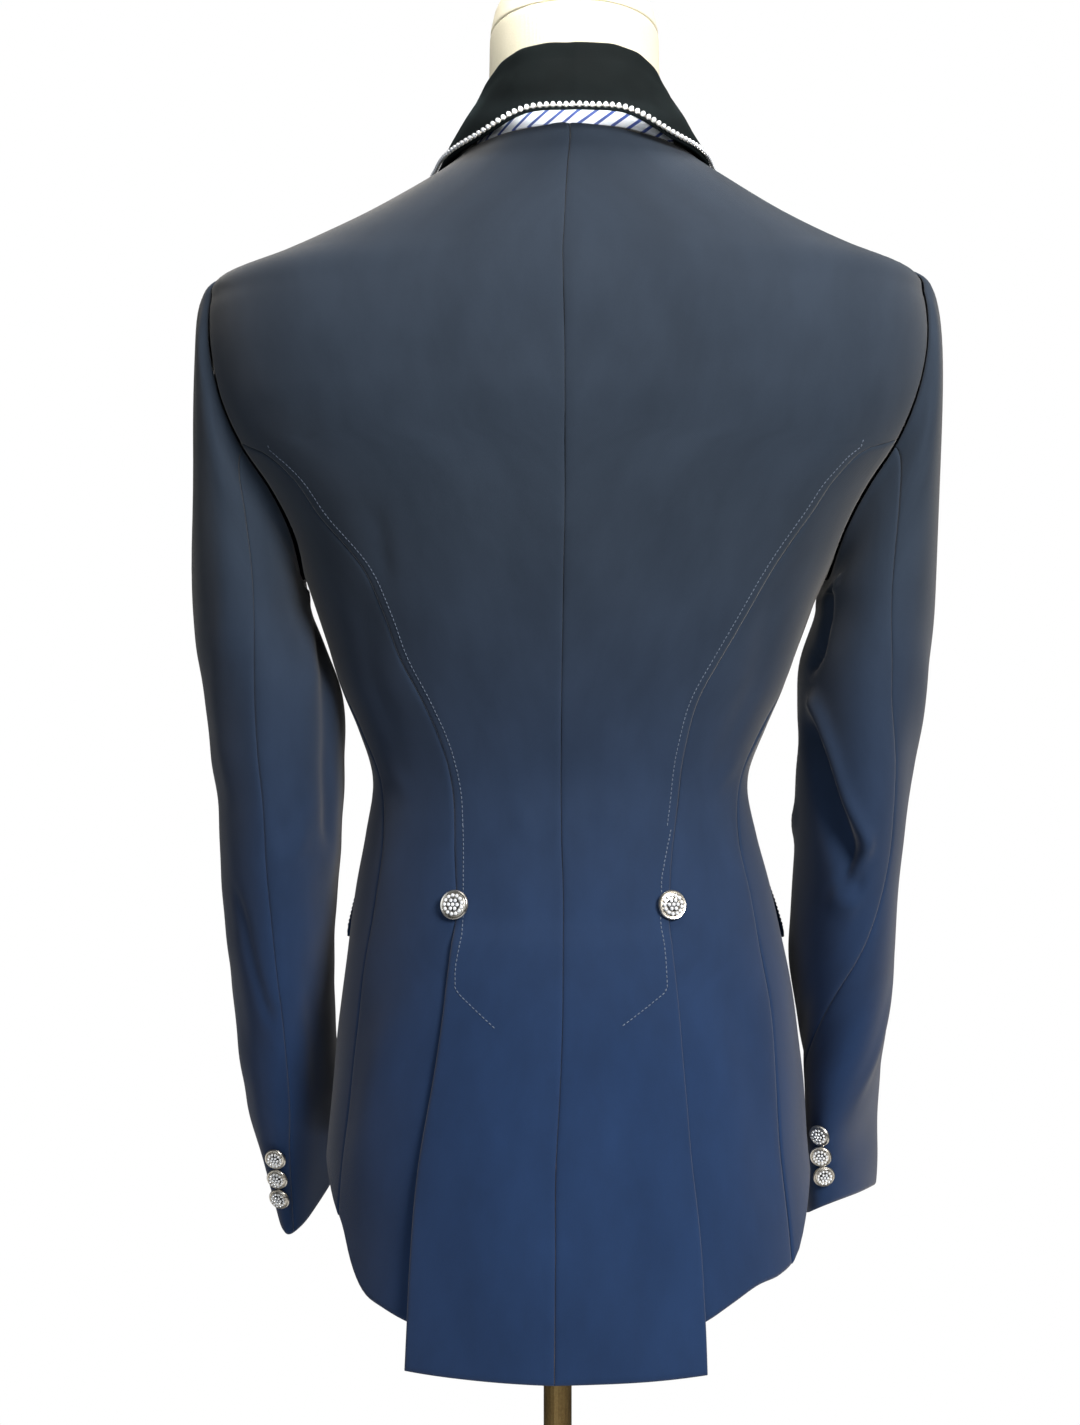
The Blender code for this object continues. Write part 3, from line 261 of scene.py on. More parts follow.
def bodyNormal(turn, height, step=0.003):
    across = bodyPoint(turn + step, height) - bodyPoint(turn - step, height)
    up = bodyPoint(turn, height + step) - bodyPoint(turn, height - step)
    return unit(np.cross(across, up))


def turnAt(x, height, side, onFront):
    halfWidth, back, front, middle, square, shift, twist = np.moveaxis(bodySection(height), -1, 0)
    across = np.clip((x - shift) / halfWidth, -1.0, 1.0)
    share = (1 - np.abs(across) ** square) ** (1 / square)
    angle = np.arctan2(across * halfWidth, -front * share if onFront else back * share)
    if onFront:
        angle = np.where(angle * sign[side] < 0, angle + sign[side] * 2 * math.pi, angle)
    return angle + twist


def armholeAt(side, steps):
    t = np.radians(np.asarray(steps, dtype=float))
    height = armhole["middle"] + armhole["halfHeight"] * np.cos(t)
    bulge = np.sign(np.sin(t)) * np.abs(np.sin(t)) ** 0.8
    y = -armhole["halfDepth"] * bulge * (1 - armhole["fullness"] * np.cos(t))
    halfWidth, back, front, middle, square, shift, twist = np.moveaxis(bodySection(height), -1, 0)
    depth = np.where(y < 0, back, front)
    x = halfWidth * (1 - np.abs(y / depth) ** square) ** (1 / square)
    return np.stack([sign[side] * np.arctan2(x, -y) + twist, height], axis=-1)


def settle(points):
    # The left shoulder sits a little lower. Heights become real ones.
    points = np.array(points, dtype=float)
    left = -points[..., 0]
    drop = coat["leftShoulderDrop"] * ramp(0.03, 0.09, left) + coat["leftTipDrop"] * ramp(0.13, 0.20, left)
    points[..., 2] += coat["waistHeight"] - drop * ramp(0.10, 0.28, points[..., 2])
    return points


# Folds: soft troughs and ridges that follow lines on the cloth

def wave(u, v, seed, size):
    # A smooth uneven field of about -1 to 1, its bumps as wide as size.
    rng = np.random.default_rng(seed)
    total = np.zeros(np.broadcast(u, v).shape)
    for ripple in range(9):
        heading = rng.uniform(0, math.pi)
        length = size * rng.uniform(0.6, 1.8)
        total += np.sin((u * math.cos(heading) + v * math.sin(heading)) * 2 * math.pi / length + rng.uniform(0, 6.3))
    return total / 4.0


def foldField(points, folds):
    # points: (..., 2) in metres on the surface. A fold is its line, depth, width and how far its ends fade.
    total = np.zeros(points.shape[:-1])
    for line, depth, width, fade in folds:
        line = np.array(line, dtype=float)
        lengths = np.linalg.norm(np.diff(line, axis=0), axis=1)
        ends = np.concatenate([[0.0], np.cumsum(lengths)])
        best = np.full(total.shape, 9.0)
        place = np.zeros(total.shape)
        for start, end, length, before in zip(line[:-1], line[1:], lengths, ends):
            step = (end - start) / length
            along = np.clip(((points - start) * step).sum(axis=-1), 0.0, length)
            away = np.linalg.norm(points - start - along[..., None] * step, axis=-1)
            nearer = away < best
            best = np.where(nearer, away, best)
            place = np.where(nearer, before + along, place)
        whole = ends[-1]
        ease = ramp(0.0, fade, place) * ramp(0.0, fade, whole - place) if fade > 0 else 1.0
        total += depth * np.exp(-((best / width) ** 2)) * ease
    return total


# Meshes

def newObject(name, points, faces, uvs=None, materials=(), marks=None):
    mesh = bpy.data.meshes.new(name)
    mesh.from_pydata(np.asarray(points).reshape(-1, 3).tolist(), [], faces)
    if uvs is not None:
        layer = mesh.uv_layers.new(name="cut")
        flat = np.asarray(uvs).reshape(-1, 2)
        corners = np.zeros(len(mesh.loops), dtype=np.int32)
        mesh.loops.foreach_get("vertex_index", corners)
        layer.data.foreach_set("uv", flat[corners].ravel())
    for material in materials:
        mesh.materials.append(material)
    if marks is not None:
        mesh.polygons.foreach_set("material_index", np.asarray(marks, dtype=np.int32))
    mesh.validate()
    mesh.shade_smooth()
    thing = bpy.data.objects.new("sewn_" + name, mesh)
    thing["stands"] = name
    scene.collection.objects.link(thing)
    return thing


def gridFaces(rows, columns, offset=0, turned=False):
    r, c = np.meshgrid(np.arange(rows - 1), np.arange(columns - 1), indexing="ij")
    a = (r * columns + c).ravel() + offset
    quads = np.stack([a, a + 1, a + columns + 1, a + columns], axis=-1)
    return quads[:, ::-1] if turned else quads


def clothShell(name, outer, normals, uvs, thickness, looks, turned=False):
    # A closed sheet of cloth: its face, its lining side, and a rounded edge between them.
    rows, columns = outer.shape[:2]
    inner = outer - normals * thickness
    middle = outer - normals * thickness * 0.5
    count = rows * columns
    rim = [(0, c) for c in range(columns)] + [(r, columns - 1) for r in range(1, rows)]
    rim += [(rows - 1, c) for c in range(columns - 2, -1, -1)] + [(r, 0) for r in range(rows - 2, 0, -1)]
    rimIndex = np.array([r * columns + c for r, c in rim])
    inward = np.zeros((len(rim), 3))
    for place, (r, c) in enumerate(rim):
        near = outer[min(max(r, 1), rows - 2), min(max(c, 1), columns - 2)]
        inward[place] = near - outer[r, c]
    inward = unit(inward)
    edge = middle.reshape(-1, 3)[rimIndex] - inward * min(0.0004, thickness * 0.25)
    points = np.concatenate([outer.reshape(-1, 3), inner.reshape(-1, 3), edge])
    face = gridFaces(rows, columns)
    back = gridFaces(rows, columns, count, True)
    following = np.roll(np.arange(len(rim)), -1)
    edgeIndex = 2 * count + np.arange(len(rim))
    first = np.stack([rimIndex, edgeIndex, edgeIndex[following], rimIndex[following]], axis=-1)
    second = np.stack([edgeIndex, rimIndex + count, rimIndex[following] + count, edgeIndex[following]], axis=-1)
    faces = np.concatenate([face, back, first, second])
    if turned:
        faces = faces[:, ::-1]
    marks = np.zeros(len(faces), dtype=int)
    marks[len(face) : len(face) + len(back)] = 1
    allUvs = np.concatenate([uvs.reshape(-1, 2), uvs.reshape(-1, 2), uvs.reshape(-1, 2)[rimIndex]])
    return newObject(name, points, faces.tolist(), allUvs, looks, marks)


def gridNormals(points):
    across = np.gradient(points, axis=1)
    down = np.gradient(points, axis=0)
    return unit(np.cross(across, down))


def spread(count, width, edges=(0.0006, 0.0014, 0.0026)):
    # Shares across a sheet of the given width (an array), closer together along both its edges.
    width = np.asarray(width, dtype=float)[:, None]
    near = np.minimum(np.array([0.0, *edges])[None, :] / np.maximum(width, 1e-6), 0.12 * np.arange(len(edges) + 1))
    middle = near[:, -1:] + (1 - 2 * near[:, -1:]) * (np.arange(1, count) / count)[None, :]
    return np.concatenate([near, middle, 1 - near[:, ::-1]], axis=1)


def refine(keys, step, small=()):
    # More rows between the given ones, at most step apart, with extra ones close to both ends.
    keys = np.array(keys, dtype=float)
    rows = [keys[:1]]
    for low, high in zip(keys[:-1], keys[1:]):
        count = max(1, int(math.ceil(abs(high - low) / step)))
        rows.append(np.linspace(low, high, count + 1)[1:])
    rows = np.concatenate(rows)
    way = 1 if rows[-1] > rows[0] else -1
    extra = [rows[0] + way * d for d in small] + [rows[-1] - way * d for d in small]
    rows = np.unique(np.concatenate([rows, extra]))
    return rows if way > 0 else rows[::-1]


# Finishes. Groups give only what changes over the cloth, and each material has its own numbers.

def newGroup(name, inputs, outputs):
    group = bpy.data.node_groups.new(name, "ShaderNodeTree")
    for label, kind, value in inputs:
        socket = group.interface.new_socket(name=label, in_out="INPUT", socket_type=kind)
        if value is not None:
            socket.default_value = value
    for label, kind in outputs:
        group.interface.new_socket(name=label, in_out="OUTPUT", socket_type=kind)
    return group, group.nodes.new("NodeGroupInput"), group.nodes.new("NodeGroupOutput")


def addNode(tree, kind, settings=None, inputs=None):
    node = tree.nodes.new(kind)
    for key, value in (settings or {}).items():
        setattr(node, key, value)
    for key, value in (inputs or {}).items():
        if isinstance(value, bpy.types.NodeSocket):
            tree.links.new(value, node.inputs[key])
        else:
            node.inputs[key].default_value = value
    return node


def mathNode(tree, operation, first, second=None):
    inputs = {0: first} if second is None else {0: first, 1: second}
    return addNode(tree, "ShaderNodeMath", {"operation": operation}, inputs).outputs[0]


def weaveGroup():
    # Fine ribs across a slow unevenness of the cloth, read from the cut's own map in metres.
    group, start, end = newGroup(
        "fineWeave",
        [("Vector", "NodeSocketVector", None), ("Ribs", "NodeSocketFloat", 260.0),
         ("Slant", "NodeSocketVector", None), ("Cloud", "NodeSocketFloat", 22.0)],
        [("Weave", "NodeSocketFloat"), ("Mottle", "NodeSocketFloat"), ("Height", "NodeSocketFloat")],
    )
    turnedMap = addNode(group, "ShaderNodeMapping", None, {"Vector": start.outputs["Vector"]})
    group.links.new(start.outputs["Slant"], turnedMap.inputs["Rotation"])
    ribs = addNode(group, "ShaderNodeTexWave", {"wave_type": "BANDS"},
                   {"Vector": turnedMap.outputs[0], "Scale": start.outputs["Ribs"], "Distortion": 1.2,
                    "Detail": 2.0, "Detail Scale": 3.0})
    picks = addNode(group, "ShaderNodeTexNoise", None,
                    {"Vector": start.outputs["Vector"], "Scale": 900.0, "Detail": 3.0, "Roughness": 0.7})
    tall = addNode(group, "ShaderNodeMapping", None, {"Vector": start.outputs["Vector"], "Scale": (1.0, 0.42, 1.0)})
    cloud = addNode(group, "ShaderNodeTexNoise", None,
                    {"Vector": tall.outputs[0], "Scale": start.outputs["Cloud"], "Detail": 6.0, "Roughness": 0.62})
    mixed = mathNode(group, "MULTIPLY", ribs.outputs["Fac"], picks.outputs["Fac"])
    height = mathNode(group, "ADD", mixed, mathNode(group, "MULTIPLY", cloud.outputs["Fac"], 0.5))
    group.links.new(mixed, end.inputs["Weave"])
    group.links.new(cloud.outputs["Fac"], end.inputs["Mottle"])
    group.links.new(height, end.inputs["Height"])
    return group


def grainGroup():
    # Fine scratches and a soft worn unevenness for metal, stone, paint and nap.
    group, start, end = newGroup(
        "grain",
        [("Vector", "NodeSocketVector", None), ("Fine", "NodeSocketFloat", 900.0), ("Broad", "NodeSocketFloat", 30.0)],
        [("Fine", "NodeSocketFloat"), ("Broad", "NodeSocketFloat"), ("Height", "NodeSocketFloat")],
    )
    fine = addNode(group, "ShaderNodeTexNoise", None,
                   {"Vector": start.outputs["Vector"], "Scale": start.outputs["Fine"], "Detail": 4.0, "Roughness": 0.7})
    broad = addNode(group, "ShaderNodeTexNoise", None,
                    {"Vector": start.outputs["Vector"], "Scale": start.outputs["Broad"], "Detail": 5.0})
    group.links.new(fine.outputs["Fac"], end.inputs["Fine"])
    group.links.new(broad.outputs["Fac"], end.inputs["Broad"])
    group.links.new(mathNode(group, "ADD", fine.outputs["Fac"], mathNode(group, "MULTIPLY", broad.outputs["Fac"], 0.4)),
                    end.inputs["Height"])
    return group


fineWeave = weaveGroup()
grain = grainGroup()


def newFinish(name, shaderValues):
    material = bpy.data.materials.new(name)
    material.use_nodes = True
    tree = material.node_tree
    shader = tree.nodes["Principled BSDF"]
    for key, value in shaderValues.items():
        shader.inputs[key].default_value = value
    return material, tree, shader


def placeGroup(tree, group, vector, values):
    node = tree.nodes.new("ShaderNodeGroup")
    node.node_tree = group
    tree.links.new(vector, node.inputs["Vector"])
    for key, value in values.items():
        node.inputs[key].default_value = value
    return node


def mixColours(tree, factor, first, second, blend="MIX"):
    # The two colours are sockets or plain values.
    first, second = [c if isinstance(c, bpy.types.NodeSocket) else (*c, 1.0) for c in (first, second)]
    return addNode(tree, "ShaderNodeMix", {"data_type": "RGBA", "blend_type": blend},
                   {"Factor": factor, 6: first, 7: second}).outputs[2]


def colourBetween(tree, factor, dark, light, low=0.3, high=0.7):
    step = addNode(tree, "ShaderNodeMapRange", None, {"Value": factor, "From Min": low, "From Max": high})
    return mixColours(tree, step.outputs[0], dark, light)


def roughBetween(tree, factor, low, high):
    return addNode(tree, "ShaderNodeMapRange", None,
                   {"Value": factor, "To Min": low, "To Max": high}).outputs[0]


def bumpFrom(tree, height, strength, distance):
    return addNode(tree, "ShaderNodeBump", None,
                   {"Height": height, "Strength": strength, "Distance": distance}).outputs[0]


def dressShader(tree, shader, colour, rough, normal):
    for key, value in (("Base Color", colour), ("Roughness", rough), ("Normal", normal)):
        tree.links.new(value, shader.inputs[key])


def woolFinish(name, look):
    # Fine worsted: ribs, a slow mottle, a soft bloom on its surface, and painted light: bluer low down and greyer,
    # lighter at the shoulders, a painted sheen from the light above.
    material, tree, shader = newFinish(name, {
        "Sheen Weight": look["bloom"], "Sheen Roughness": 0.45, "Sheen Tint": (*look["bloomColour"], 1.0),
        "Specular IOR Level": 0.12,
    })
    place = addNode(tree, "ShaderNodeUVMap", {"uv_map": "cut"}).outputs[0]
    weave = placeGroup(tree, fineWeave, place, {"Ribs": 640.0, "Slant": (0.0, 0.0, 1.05), "Cloud": look["cloud"]})
    lower = colourBetween(tree, weave.outputs["Mottle"], look["dark"], look["light"], 0.35, 0.65)
    # Painted light: the greyer, lighter colours for the shoulders stand in for sheen from the light above.
    upper = colourBetween(tree, weave.outputs["Mottle"], look["paintedSheenDark"], look["paintedSheenLight"], 0.35, 0.65)
    spot = addNode(tree, "ShaderNodeTexCoord").outputs["Object"]
    height = addNode(tree, "ShaderNodeSeparateXYZ", None, {"Vector": spot}).outputs[2]
    # Painted light: blends from the bluer low colours to the painted sheen colours over the coat's height.
    paintedSheenRise = addNode(tree, "ShaderNodeMapRange", {"interpolation_type": "SMOOTHSTEP"},
                   {"Value": height, "From Min": look["from"], "From Max": look["to"]})
    base = mixColours(tree, paintedSheenRise.outputs[0], lower, upper)
    ribs = addNode(tree, "ShaderNodeMapRange", None,
                   {"Value": weave.outputs["Weave"], "From Max": 0.7, "To Min": 0.86, "To Max": 1.10})
    dressShader(tree, shader, mixColours(tree, 1.0, base, ribs.outputs[0], "MULTIPLY"),
                roughBetween(tree, weave.outputs["Mottle"], 0.72, 0.92),
                bumpFrom(tree, weave.outputs["Height"], 0.20, 0.0004))
    return material


def clothFinish(name, dark, light, ribs, slant, rough, shaderValues, bump=0.3):
    material, tree, shader = newFinish(name, shaderValues)
    place = addNode(tree, "ShaderNodeUVMap", {"uv_map": "cut"}).outputs[0]
    weave = placeGroup(tree, fineWeave, place, {"Ribs": ribs, "Slant": slant, "Cloud": 30.0})
    both = mathNode(tree, "ADD", mathNode(tree, "MULTIPLY", weave.outputs["Weave"], 0.6),
                    mathNode(tree, "MULTIPLY", weave.outputs["Mottle"], 0.5))
    dressShader(tree, shader, colourBetween(tree, both, dark, light, 0.2, 0.75),
                roughBetween(tree, weave.outputs["Weave"], *rough),
                bumpFrom(tree, weave.outputs["Height"], bump, 0.0006))
    return material


def grainFinish(name, dark, light, rough, shaderValues, fine=900.0, broad=30.0, bump=0.1, distance=0.0003):
    material, tree, shader = newFinish(name, shaderValues)
    place = addNode(tree, "ShaderNodeTexCoord").outputs["Object"]
    marks = placeGroup(tree, grain, place, {"Fine": fine, "Broad": broad})
    both = mathNode(tree, "ADD", mathNode(tree, "MULTIPLY", marks.outputs["Fine"], 0.5),
                    mathNode(tree, "MULTIPLY", marks.outputs["Broad"], 0.5))
    dressShader(tree, shader, colourBetween(tree, both, dark, light), roughBetween(tree, both, *rough),
                bumpFrom(tree, marks.outputs["Height"], bump, distance))
    return material


def stripeFinish(name, look):
    # Slanting stripes on satin. The map runs along the band in metres.
    material, tree, shader = newFinish(name, {"Sheen Weight": 0.15, "Specular IOR Level": 0.6})
    place = addNode(tree, "ShaderNodeUVMap", {"uv_map": "cut"}).outputs[0]
    parts = addNode(tree, "ShaderNodeSeparateXYZ", None, {"Vector": place})
    slanted = mathNode(tree, "SUBTRACT", parts.outputs[0], mathNode(tree, "MULTIPLY", parts.outputs[1], look["slant"]))
    phase = mathNode(tree, "PINGPONG", mathNode(tree, "ADD", slanted, 5.0), look["pitch"] / 2)
    line = addNode(tree, "ShaderNodeMapRange", None,
                   {"Value": phase, "From Min": look["line"] / 2, "From Max": look["line"] / 2 + 0.0005})
    weave = placeGroup(tree, fineWeave, place, {"Ribs": 700.0, "Slant": (0.0, 0.0, 0.0), "Cloud": 60.0})
    ground = colourBetween(tree, weave.outputs["Mottle"], look["ground"], look["groundLight"])
    dressShader(tree, shader, mixColours(tree, line.outputs[0], look["stripe"], ground),
                roughBetween(tree, weave.outputs["Weave"], 0.34, 0.5),
                bumpFrom(tree, weave.outputs["Height"], 0.15, 0.0003))
    return material


woolLook = {
    "dark": (0.0085, 0.0250, 0.0720), "light": (0.0120, 0.0330, 0.0930), "cloud": 26.0,
    # The high colours and the two heights they blend between are painted light: a painted sheen at the shoulders.
    "paintedSheenDark": (0.0175, 0.0268, 0.0425), "paintedSheenLight": (0.0235, 0.0348, 0.0540), "from": 0.90, "to": 1.27,
    "bloom": 0.20, "bloomColour": (1.0, 0.95, 0.88),
}
stripeLook = {
    "pitch": 0.0099, "line": 0.0022, "slant": 1.35, "stripe": (0.045, 0.085, 0.32),
    "ground": (0.88, 0.93, 1.0), "groundLight": (1.0, 1.0, 1.0),
}
wool = woolFinish("navyWool", woolLook)
lining = clothFinish("satinLining", (0.012, 0.018, 0.035), (0.022, 0.032, 0.060), 420.0, (0, 0, 0.8),
                     (0.30, 0.42), {"Sheen Weight": 0.1}, 0.15)
velvet = grainFinish("collarVelvet", (0.0014, 0.0030, 0.0034), (0.0042, 0.0072, 0.0078), (0.75, 0.95),
                     {"Sheen Weight": 0.030, "Sheen Roughness": 0.30, "Sheen Tint": (0.45, 0.66, 0.70, 1.0),
                      "Specular IOR Level": 0.1}, 1500.0, 60.0, 0.35, 0.0004)
striped = stripeFinish("stripedSatin", stripeLook)
linen = clothFinish("formLinen", (0.66, 0.60, 0.44), (0.88, 0.83, 0.68), 330.0, (0, 0, 0.0), (0.75, 0.9),
                    {"Sheen Weight": 0.12, "Specular IOR Level": 0.2}, 0.45)
thread = grainFinish("navyThread", (0.060, 0.082, 0.125), (0.110, 0.145, 0.205), (0.45, 0.65),
                     {"Sheen Weight": 0.2}, 2500.0, 200.0, 0.3, 0.0002)
silver = grainFinish("buttonSilver", (0.46, 0.43, 0.38), (0.78, 0.75, 0.69), (0.20, 0.38),
                     {"Metallic": 1.0}, 1800.0, 160.0, 0.12, 0.0001)
# The clear stones get a near-white base colour: a painted glint standing in for the light they reflect.
crystal = grainFinish("clearStonePaintedGlint", (0.70, 0.74, 0.80), (1.0, 1.0, 1.0), (0.03, 0.10),
                      {"Metallic": 0.15, "Specular IOR Level": 1.0, "Coat Weight": 0.6, "Coat Roughness": 0.03},
                      420.0, 380.0, 0.0, 0.0001)
darkMetal = grainFinish("buttonWell", (0.035, 0.034, 0.034), (0.10, 0.098, 0.095), (0.40, 0.60),
                        {"Metallic": 1.0}, 1800.0, 160.0, 0.12, 0.0001)
brass = grainFinish("agedBrass", (0.20, 0.125, 0.045), (0.42, 0.29, 0.12), (0.30, 0.52),
                    {"Metallic": 1.0}, 700.0, 26.0, 0.12, 0.0002)
iron = grainFinish("paintedIron", (0.018, 0.018, 0.019), (0.045, 0.044, 0.043), (0.42, 0.62),
                   {"Metallic": 0.3}, 500.0, 22.0, 0.25, 0.0003)
print("coat: finishes made")


# The coat's body

rows = {
    "seam": (-0.3238, -0.285, -0.240, -0.195, -0.155, -0.125, -0.108, -0.092, -0.078, -0.048, -0.018,
             0.012, 0.038, 0.064, 0.090, 0.114, 0.137, 0.158, 0.176, 0.1895),
    "backArmhole": (99.5, 85.0, 70.0, 56.0, 42.0, 28.0, 14.0, 0.0),
    "frontArmhole": (175.0, 190.0, 206.0, 224.0, 243.0, 262.0, 281.0, 301.0, 320.0, 340.0, 360.0),
    "shoulder": (0.3062, 0.312, 0.331, 0.350, 0.369),
    "step": 0.0045,
    "turnStep": 3.0,
}
sideSeamTop = armhole["middle"] + armhole["halfHeight"] * math.cos(math.radians(armhole["sideSeam"]))
seamTop = armhole["middle"] + armhole["halfHeight"] * math.cos(math.radians(armhole["backSeam"]))
seamLow = rows["seam"][0]
seamCurveTop = rows["seam"][-1]
metresPerDegree = 0.0022


def rowShare(height):
    return (height - seamLow) / (seamTop - seamLow)


def centreBackX(height):
    return bodyPoint(0.0, height)[..., 0]


def centreFrontX(height):
    return bodyPoint(math.pi, height)[..., 0]


def pair(turn, height):
    turn, height = np.broadcast_arrays(turn, height)
    return np.stack([turn, height], axis=-1)


def shoulderSeam(side, height):
    return pair(sign[side] * math.pi / 2 + bodySection(height)[..., 6], height)


def seamPoint(side, height, tuck=0.0):
    x = centreBackX(height) + sign[side] * (backSeam[side](height)[..., 0] - tuck)
    return pair(turnAt(x, height, side, False), height)


def intoArmhole(side, points, heights, place):
    # Leads the last stretch of a seam to its place on the armhole.
    share = np.clip((heights - seamCurveTop) / (seamTop - seamCurveTop), 0, 1)[:, None]
    return points + (armholeAt(side, armhole[place]) - points) * share


def seamUp(side, heights):
    # The curved back seam up to the armhole.
    return intoArmhole(side, seamPoint(side, np.minimum(heights, seamCurveTop)), heights, "backSeam")


def sideEdge(side, heights):
    hem = sideHem[side](57.0)[0]
    share = rowShare(heights)
    height = hem + (sideSeamTop - hem) * share
    return intoArmhole(side, pair(sign[side] * np.radians(sideSeam(height)[..., 0]), height), heights, "sideSeam")


def flapLift(turn, height):
    openShare = np.clip((coat["ventTop"] - height) / (coat["ventTop"] - coat["ventOpen"]), 0, 1)
    return (coat["cloth"] + coat["gap"]) * openShare + coat["flapSpring"] * ramp(-0.14, -0.33, height)


def frontLift(side, turn, height):
    if side == "left":
        return 0.0 * height
    distance = bodyPoint(turn, height)[..., 0] - centreFrontX(height)
    step = (coat["cloth"] + coat["gap"]) * (1 - ramp(0.026, 0.065, distance))
    return step * (1 - ramp(0.15, 0.24, height))


def edgeDistances(points):
    # Distances from a sheet's four edges: first and last column, first and last row.
    across = np.linalg.norm(np.diff(points, axis=1), axis=-1)
    down = np.linalg.norm(np.diff(points, axis=0), axis=-1)
    first = np.concatenate([np.zeros((points.shape[0], 1)), np.cumsum(across, axis=1)], axis=1)
    low = np.concatenate([np.zeros((1, points.shape[1])), np.cumsum(down, axis=0)], axis=0)
    return first, first[:, -1:] - first, low, low[-1:] - low


def rollEdges(points, normals, rolls):
    # A seam turns the last millimetres of the cloth down. rolls: depth and width for each edge.
    drop = np.zeros(points.shape[:2])
    for distance, (depth, width) in zip(edgeDistances(points), rolls):
        drop = np.maximum(drop, depth * (1 - np.clip(distance / width, 0, 1)) ** 2)
    return points - normals * drop[..., None]


def shrink(points, amount):
    # Moves the four edges of a sheet a hair inwards, so that neighbours don't share a face.
    result = points.copy()
    for here, inner in (((0,), (1,)), ((-1,), (-2,)), ((slice(None), 0), (slice(None), 1)),
                        ((slice(None), -1), (slice(None), -2))):
        result[here] += unit(points[inner] - points[here]) * amount
    return result


def cutMap(points):
    # Lengths along and up the sheet, in metres: the weave's own directions.
    first, last, low, high = edgeDistances(points)
    middle = points.shape[1] // 2
    up = low[:, middle][:, None] * np.ones((1, points.shape[1]))
    return np.stack([first - first[:, -1:] / 2, up], axis=-1)


def bodyFolds(folds):
    return [([(turn * metresPerDegree, height) for turn, height in line], depth, width, fade)
            for line, depth, width, fade in folds]


# Folds of the body: line as (degrees from the centre back, height), depth, width, fade at its ends
backFolds = bodyFolds((
    (((-15.8, 0.2002), (-16.9, 0.1010), (-24.1, 0.0451), (-33.8, -0.0119)), -0.0016, 0.025, 0.070),
    (((-45.4, 0.1691), (-48.7, 0.1019)), -0.0012, 0.007, 0.025),
    (((20.8, 0.1891), (26.8, 0.0564)), -0.0013, 0.025, 0.060),
    (((27.7, 0.1947), (39.4, 0.0223), (40.5, -0.0234)), 0.0012, 0.018, 0.060),
    (((-61.7, 0.2223), (-59.6, 0.1942)), -0.0010, 0.0035, 0.010),
    (((-55.6, 0.2249), (-55.8, 0.1853)), -0.0010, 0.0035, 0.010),
    (((-45.4, 0.1585), (-47.0, 0.1075)), -0.0009, 0.0035, 0.015),
    (((59.5, 0.2216), (60.0, 0.1655)), 0.0011, 0.0050, 0.018),
    (((-8.0, -0.120), (-10.0, -0.215), (-12.0, -0.315)), 0.0016, 0.016, 0.060),
    (((12.0, -0.110), (15.0, -0.210), (17.0, -0.320)), -0.0014, 0.014, 0.060),
    (((-20.0, -0.015), (-8.0, -0.030)), 0.0010, 0.0070, 0.015),
    (((24.0, -0.012), (10.0, -0.026)), 0.0010, 0.0070, 0.015),
))
sideFolds = bodyFolds((
    (((-52.0, 0.120), (-60.0, 0.060), (-58.0, 0.005)), -0.0016, 0.010, 0.040),
    (((55.0, 0.130), (62.0, 0.055), (58.0, 0.000)), -0.0014, 0.010, 0.040),
    (((-44.0, -0.110), (-48.0, -0.180), (-50.0, -0.250)), 0.0018, 0.013, 0.050),
    (((44.0, -0.105), (49.0, -0.190), (52.0, -0.265)), -0.0016, 0.013, 0.050),
    (((-70.0, 0.010), (-52.0, -0.012)), 0.0010, 0.006, 0.020),
    (((70.0, 0.012), (53.0, -0.010)), 0.0010, 0.006, 0.020),
))
frontFolds = bodyFolds((
    (((-95.0, 0.100), (-110.0, 0.030), (-112.0, -0.030)), -0.0015, 0.012, 0.040),
    (((94.0, 0.105), (108.0, 0.035), (113.0, -0.028)), -0.0016, 0.012, 0.040),
    (((-165.0, 0.012), (-140.0, 0.030), (-122.0, 0.045)), 0.0012, 0.007, 0.030),
    (((168.0, 0.016), (142.0, 0.038), (125.0, 0.058)), 0.0012, 0.007, 0.030),
    (((-120.0, -0.110), (-122.0, -0.170), (-126.0, -0.225)), 0.0013, 0.012, 0.040),
    (((122.0, -0.110), (125.0, -0.165), (128.0, -0.226)), -0.0013, 0.012, 0.040),
    (((-115.0, 0.250), (-125.0, 0.190)), -0.0010, 0.008, 0.030),
    (((113.0, 0.250), (124.0, 0.190)), -0.0010, 0.008, 0.030),
))


def bodySheet(name, grid, lift, folds, rolls, looks, seed=1, uneven=0.0005):
    # grid holds (turn, height) pairs.
    turn = grid[..., 0]
    height = grid[..., 1]
    normals = bodyNormal(turn, height)
    flat = np.stack([np.degrees(turn) * metresPerDegree, height], axis=-1)
    away = lift(turn, height) + uneven * wave(flat[..., 0], flat[..., 1], seed, 0.07)
    if folds:
        away = away + foldField(flat, folds)
    outer = bodyPoint(turn, height) + normals * away[..., None]
    uvs = cutMap(outer)
    outer = shrink(rollEdges(outer, normals, rolls), coat["seamGap"])
    shown = unit(gridNormals(outer))
    shown = np.where((shown * normals).sum(axis=-1, keepdims=True) < 0, -shown, shown)
    return clothShell(name, settle(outer), shown, uvs, coat["cloth"], looks, runsBack(grid))


def runsBack(grid):
    # Whether the grid's first direction runs the way that would turn its faces inwards.
    middle = grid.shape[0] // 2
    return (grid[middle, -1, 0] - grid[middle, 0, 0]) * (grid[-1, 0, 1] - grid[0, 0, 1]) < 0


